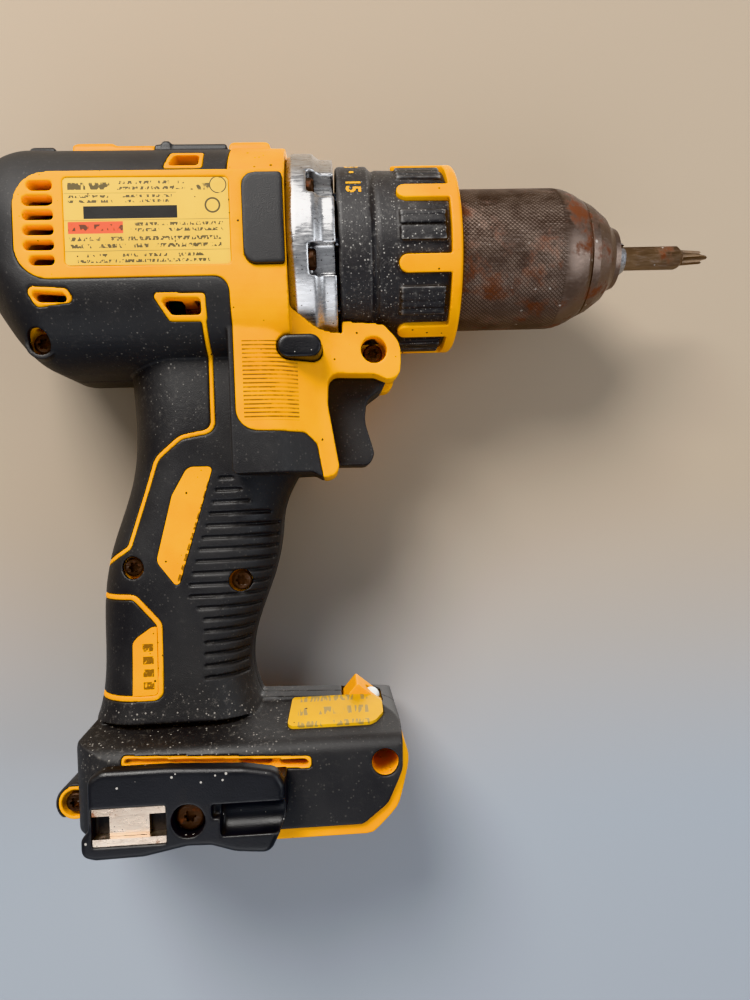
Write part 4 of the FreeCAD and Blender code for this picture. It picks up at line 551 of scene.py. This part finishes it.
def dustRubber(piece):
    points, normals = pointsOf(piece.data) * 1000, pointsOf(piece.data, "normal")
    x, y, z = points.T
    dust = 0.10 + 0.75 * np.clip((z + 147) / 4, 0, 1) * np.clip((-124 - z) / 8, 0, 1) * np.clip((-98 - x) / 25, 0, 1)
    dust += 0.22 * ((x > -147) & (x < -126) & (z > -56) & (z < -26))
    dust += 0.12 * blob(points, (-140, 0, -30), (30, 60, 12))
    pointValues(piece.data, "dust", np.clip(dust, 0, 1))


coarse = 1.0
moulded = {
    "housing_right": ("shellRight", "yellow_shell", 0.40, 2, 190000),
    "housing_left": ("shellLeft", "yellow_shell", 0.40, 2, 190000),
    "grip_right": ("rubberRight", "black_rubber", 0.36, 2, 190000),
    "grip_left": ("rubberLeft", "black_rubber", 0.36, 2, 190000),
    "bumper_pads": ("caseBumpers", "black_rubber", 0.40, 4, 60000),
    "trigger": ("triggerPaddle", "black_rubber", 0.35, 4, 60000),
    "bit_clip": ("bitHolder", "black_plastic", 0.35, 3, 90000),
    "lamp_hood": ("lampHood", "yellow_shell", 0.25, 3, 50000),
    "direction_button": ("reverseButton", "black_plastic", 0.35, 3, 60000),
    "speed_selector": ("speedSlide", "yellow_shell", 0.30, 3, 40000),
    "gear_case": ("caseShell", "gear_case_metal", 0.45, 2, 150000),
    "clutch_collar": ("torqueCollar", "black_plastic", 0.36, 2, 180000),
    "clutch_collar_ring": ("collarBand", "yellow_shell", 0.30, 2, 90000),
}
pieces = {}
for node, (newName, slotName, voxel, rounds, limit) in moulded.items():
    material = looks["collar"] if node == "clutch_collar" else looks[slotName]
    pieces[node] = mould(node, newName, material, voxel * mm * coarse, rounds, limit)
for node in ("grip_right", "grip_left", "bumper_pads", "trigger"):
    dustRubber(pieces[node])
collarPoints = pointsOf(pieces["clutch_collar"].data) * 1000
pointValues(pieces["clutch_collar"].data, "dust", np.clip(0.35 + 0.5 * blob(
    collarPoints, (-72, -25, -8), (18, 30, 20)), 0, 1))
print("moulded pieces done")

chuckSleeve = {"around": 408, "pitch": 1.306 * mm, "depth": 0.22 * mm, "knurlFrom": -51.4 * mm,
               "knurlTo": -21.6 * mm}


def buildSleeve():
    low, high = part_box("chuck_sleeve")
    radius = high.z
    inner = radius - 2.2 * mm
    size = chuckSleeve
    step = size["pitch"] / 4
    stations = []
    x = size["knurlFrom"]
    while x < size["knurlTo"] + 1e-9:
        stations.append((x, radius))
        x += step
    outline = [(low.x, inner), (low.x, radius - 0.9 * mm), (low.x + 0.35 * mm, radius - 0.35 * mm)] + stations
    outline += [(-21.0 * mm, radius - 0.12 * mm), (-19.5 * mm, radius - 0.30 * mm), (-17.6 * mm, radius - 0.9 * mm),
                (-15.6 * mm, radius - 1.75 * mm), (-13.9 * mm, radius - 2.75 * mm),
                (high.x + 0.25 * mm, radius - 3.35 * mm),
                (high.x, radius - 3.6 * mm), (high.x, 17.2 * mm), (high.x - 0.6 * mm, 17.0 * mm)]
    bm = bmesh.new()
    verts = [bm.verts.new((x, 0, r)) for x, r in outline]
    edges = [bm.edges.new(pair) for pair in zip(verts, verts[1:])]
    bmesh.ops.spin(bm, geom=verts + edges, cent=(0, 0, 0), axis=(1, 0, 0), angle=2 * math.pi,
                   steps=size["around"], use_merge=True)
    pitchAround = 2 * math.pi * radius / round(2 * math.pi * radius / size["pitch"])
    for vert in bm.verts:
        if not size["knurlFrom"] - 1e-6 < vert.co.x < size["knurlTo"] + 1e-6:
            continue
        turn = math.atan2(vert.co.y, vert.co.z) * radius / pitchAround
        along = (vert.co.x - size["knurlFrom"]) / size["pitch"]
        ridge = min(abs(((turn + along) % 1) - 0.5), abs(((turn - along) % 1) - 0.5)) * 2
        sink = size["depth"] * (1 - min(1.0, ridge * 1.6))
        share = (radius - sink) / radius
        vert.co.y *= share
        vert.co.z *= share
    bmesh.ops.recalc_face_normals(bm, faces=bm.faces)
    return bm


sleeve = newPiece("knurledSleeve", buildSleeve(), "sleeve", looks["chuck_metal"])
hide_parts("chuck_sleeve")
sleevePoints = pointsOf(sleeve.data) * 1000
sleeveRadius = np.hypot(sleevePoints[:, 1], sleevePoints[:, 2])
inKnurl = (sleevePoints[:, 0] > -51.5) & (sleevePoints[:, 0] < -21.5)
top = sleeveRadius.max()
# knurl crests: the lighter colour on the ridge tops is partly wear and partly a painted highlight, stored in the
# edge mask
crest = np.where(inKnurl, np.clip((sleeveRadius - top + 0.10) / 0.10, 0, 1), 0.0)
pointValues(sleeve.data, "edgeWearAndHighlight", crest)
pointValues(sleeve.data, "cavity", np.where(inKnurl, np.clip((top - sleeveRadius) / 0.22, 0, 1), 0.0))

collarMarks = {"size": 5.8 * mm, "x": -83.2 * mm, "first": 31.0, "step": 16.0, "lift": 0.05 * mm, "dot": 0.75 * mm}


def wrapOnCollar(bm, degrees, surface):
    for vert in bm.verts:
        turn = math.radians(degrees) - vert.co.x / (27.5 * mm)
        away = Vector((0, -math.cos(turn), math.sin(turn)))
        x = collarMarks["x"] + vert.co.y
        hit = surface.ray_cast(Vector((x, 0, 0)) + away * 40 * mm, -away)
        reach = hit[0].yz.length if hit[0] else 26.6 * mm
        vert.co = Vector((x, 0, 0)) + away * (reach + collarMarks["lift"])


def buildCollarMarks():
    surface = BVHTree.FromObject(pieces["clutch_collar"], bpy.context.evaluated_depsgraph_get())
    total = bmesh.new()
    for setting in range(15, 0, -1):
        degrees = collarMarks["first"] + collarMarks["step"] * (15 - setting)
        bm = bmesh.new()
        if setting % 2:
            letters = bpy.data.curves.new("settingText", "FONT")
            letters.body = str(setting)
            letters.size = collarMarks["size"]
            letters.align_x = "CENTER"
            letters.align_y = "CENTER"
            letters.offset = 0.12 * mm
            text = bpy.data.objects.new("settingText", letters)
            bm.from_mesh(bpy.data.meshes.new_from_object(text))
            bpy.data.objects.remove(text)
            bmesh.ops.subdivide_edges(bm, edges=bm.edges, cuts=2, use_grid_fill=True)
        else:
            bmesh.ops.create_circle(bm, cap_ends=True, segments=20, radius=collarMarks["dot"])
        wrapOnCollar(bm, degrees, surface)
        mesh = bpy.data.meshes.new("settingMark")
        bm.to_mesh(mesh)
        bm.free()
        total.from_mesh(mesh)
    return total


marks = newPiece("collarSettings", buildCollarMarks(), "collar", looks["collar_ink"], smooth=False)
print("collar settings:", len(marks.data.polygons), "faces")
print("sleeve knurled:", len(sleeve.data.polygons), "faces")

cameraPlace = {
    "at": (-0.09229, -0.22604, -0.07364), "right": (0.997487, -0.059323, -0.038737),
    "up": (0.038762, -0.00073, 0.999248), "forward": (0.059306, 0.998239, -0.00157), "lens": 26.0,
}


def placeCamera(place):
    data = bpy.data.cameras.new("studioCamera")
    data.lens = place["lens"]
    data.sensor_width = 36.0
    camera = bpy.data.objects.new("studioCamera", data)
    bpy.context.scene.collection.objects.link(camera)
    right, up, forward = (Vector(place[key]).normalized() for key in ("right", "up", "forward"))
    turned = Matrix((right, up, -forward)).transposed().to_4x4()
    camera.matrix_world = Matrix.Translation(place["at"]) @ turned
    data.clip_start = 0.01
    bpy.context.scene.camera = camera


placeCamera(cameraPlace)
low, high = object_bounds()
bpy.context.scene.view_settings.view_transform = "Khronos PBR Neutral"


def softLight(name, place, aim, size, power, tint):
    data = bpy.data.lights.new(name, "AREA")
    data.shape = "DISK"
    data.size = size
    data.energy = power
    data.color = tint
    lamp = bpy.data.objects.new(name, data)
    bpy.context.scene.collection.objects.link(lamp)
    lamp.location = place
    lamp.rotation_mode = "QUATERNION"
    lamp.rotation_quaternion = (Vector(place) - Vector(aim)).to_track_quat("Z", "Y")
    lamp.visible_camera = False
    return lamp


lightPlan = {
    "key": ((-0.45, -0.75, 0.70), 0.55, 17.0, (1.0, 0.97, 0.93)),
    "fill": ((0.75, -0.60, -0.05), 0.9, 4.5, (0.92, 0.96, 1.0)),
    "low": ((-0.30, -0.55, -0.75), 0.8, 3.0, (0.95, 0.97, 1.0)),
    "back": ((0.25, 0.85, 0.55), 0.9, 12.0, (1.0, 0.98, 0.95)),
}
middle = (low + high) / 2
for name, (place, size, power, tint) in lightPlan.items():
    softLight(name + "Light", place, middle, size, power, tint)

world = bpy.data.worlds.new("studioWorld")
bpy.context.scene.world = world
world.use_nodes = True
world.node_tree.nodes["Background"].inputs["Color"].default_value = (0.80, 0.82, 0.86, 1)
world.node_tree.nodes["Background"].inputs["Strength"].default_value = 0.40

# the wall's upper and lower colours paint a light fall-off onto it
backdropPlan = {"reach": 1.6, "gap": 0.0012, "upper": linear(163, 149, 132), "lower": linear(150, 156, 164)}


def buildBackdrop():
    bm = bmesh.new()
    bmesh.ops.create_grid(bm, x_segments=1, y_segments=1, size=backdropPlan["reach"])
    bmesh.ops.rotate(bm, verts=bm.verts, cent=(0, 0, 0), matrix=Matrix.Rotation(math.radians(90), 3, "X"))
    bmesh.ops.translate(bm, verts=bm.verts, vec=(-0.09, high.y + backdropPlan["gap"], -0.07))
    mesh = bpy.data.meshes.new("paleBackdrop")
    bm.to_mesh(mesh)
    bm.free()
    backdrop = bpy.data.objects.new("paleBackdrop", mesh)
    bpy.context.scene.collection.objects.link(backdrop)
    material = bpy.data.materials.new("paleWall")
    material.use_nodes = True
    tree = material.node_tree
    shader = tree.nodes["Principled BSDF"]
    where = addNode(tree, "TexCoord").outputs["Object"]
    split = addNode(tree, "SeparateXYZ")
    plug(tree, split.inputs[0], where)
    # painted light: the wall shifts from the warm upper colour to the cool lower colour with height, a light
    # fall-off painted into the wall's colour
    shade = ramp(tree, split.outputs["Z"], -0.20, -0.06)
    plug(tree, shader.inputs["Base Color"], mixColour(tree, shade, backdropPlan["lower"], backdropPlan["upper"]))
    shader.inputs["Roughness"].default_value = 0.9
    clear = addNode(tree, "BsdfTransparent")
    side = addNode(tree, "MixShader")
    plug(tree, side.inputs[0], addNode(tree, "NewGeometry").outputs["Backfacing"])
    plug(tree, side.inputs[1], shader.outputs[0])
    plug(tree, side.inputs[2], clear.outputs[0])
    plug(tree, tree.nodes["Material Output"].inputs["Surface"], side.outputs[0])
    mesh.materials.append(material)
    backdrop.visible_shadow = False


buildBackdrop()
print("stage ready")
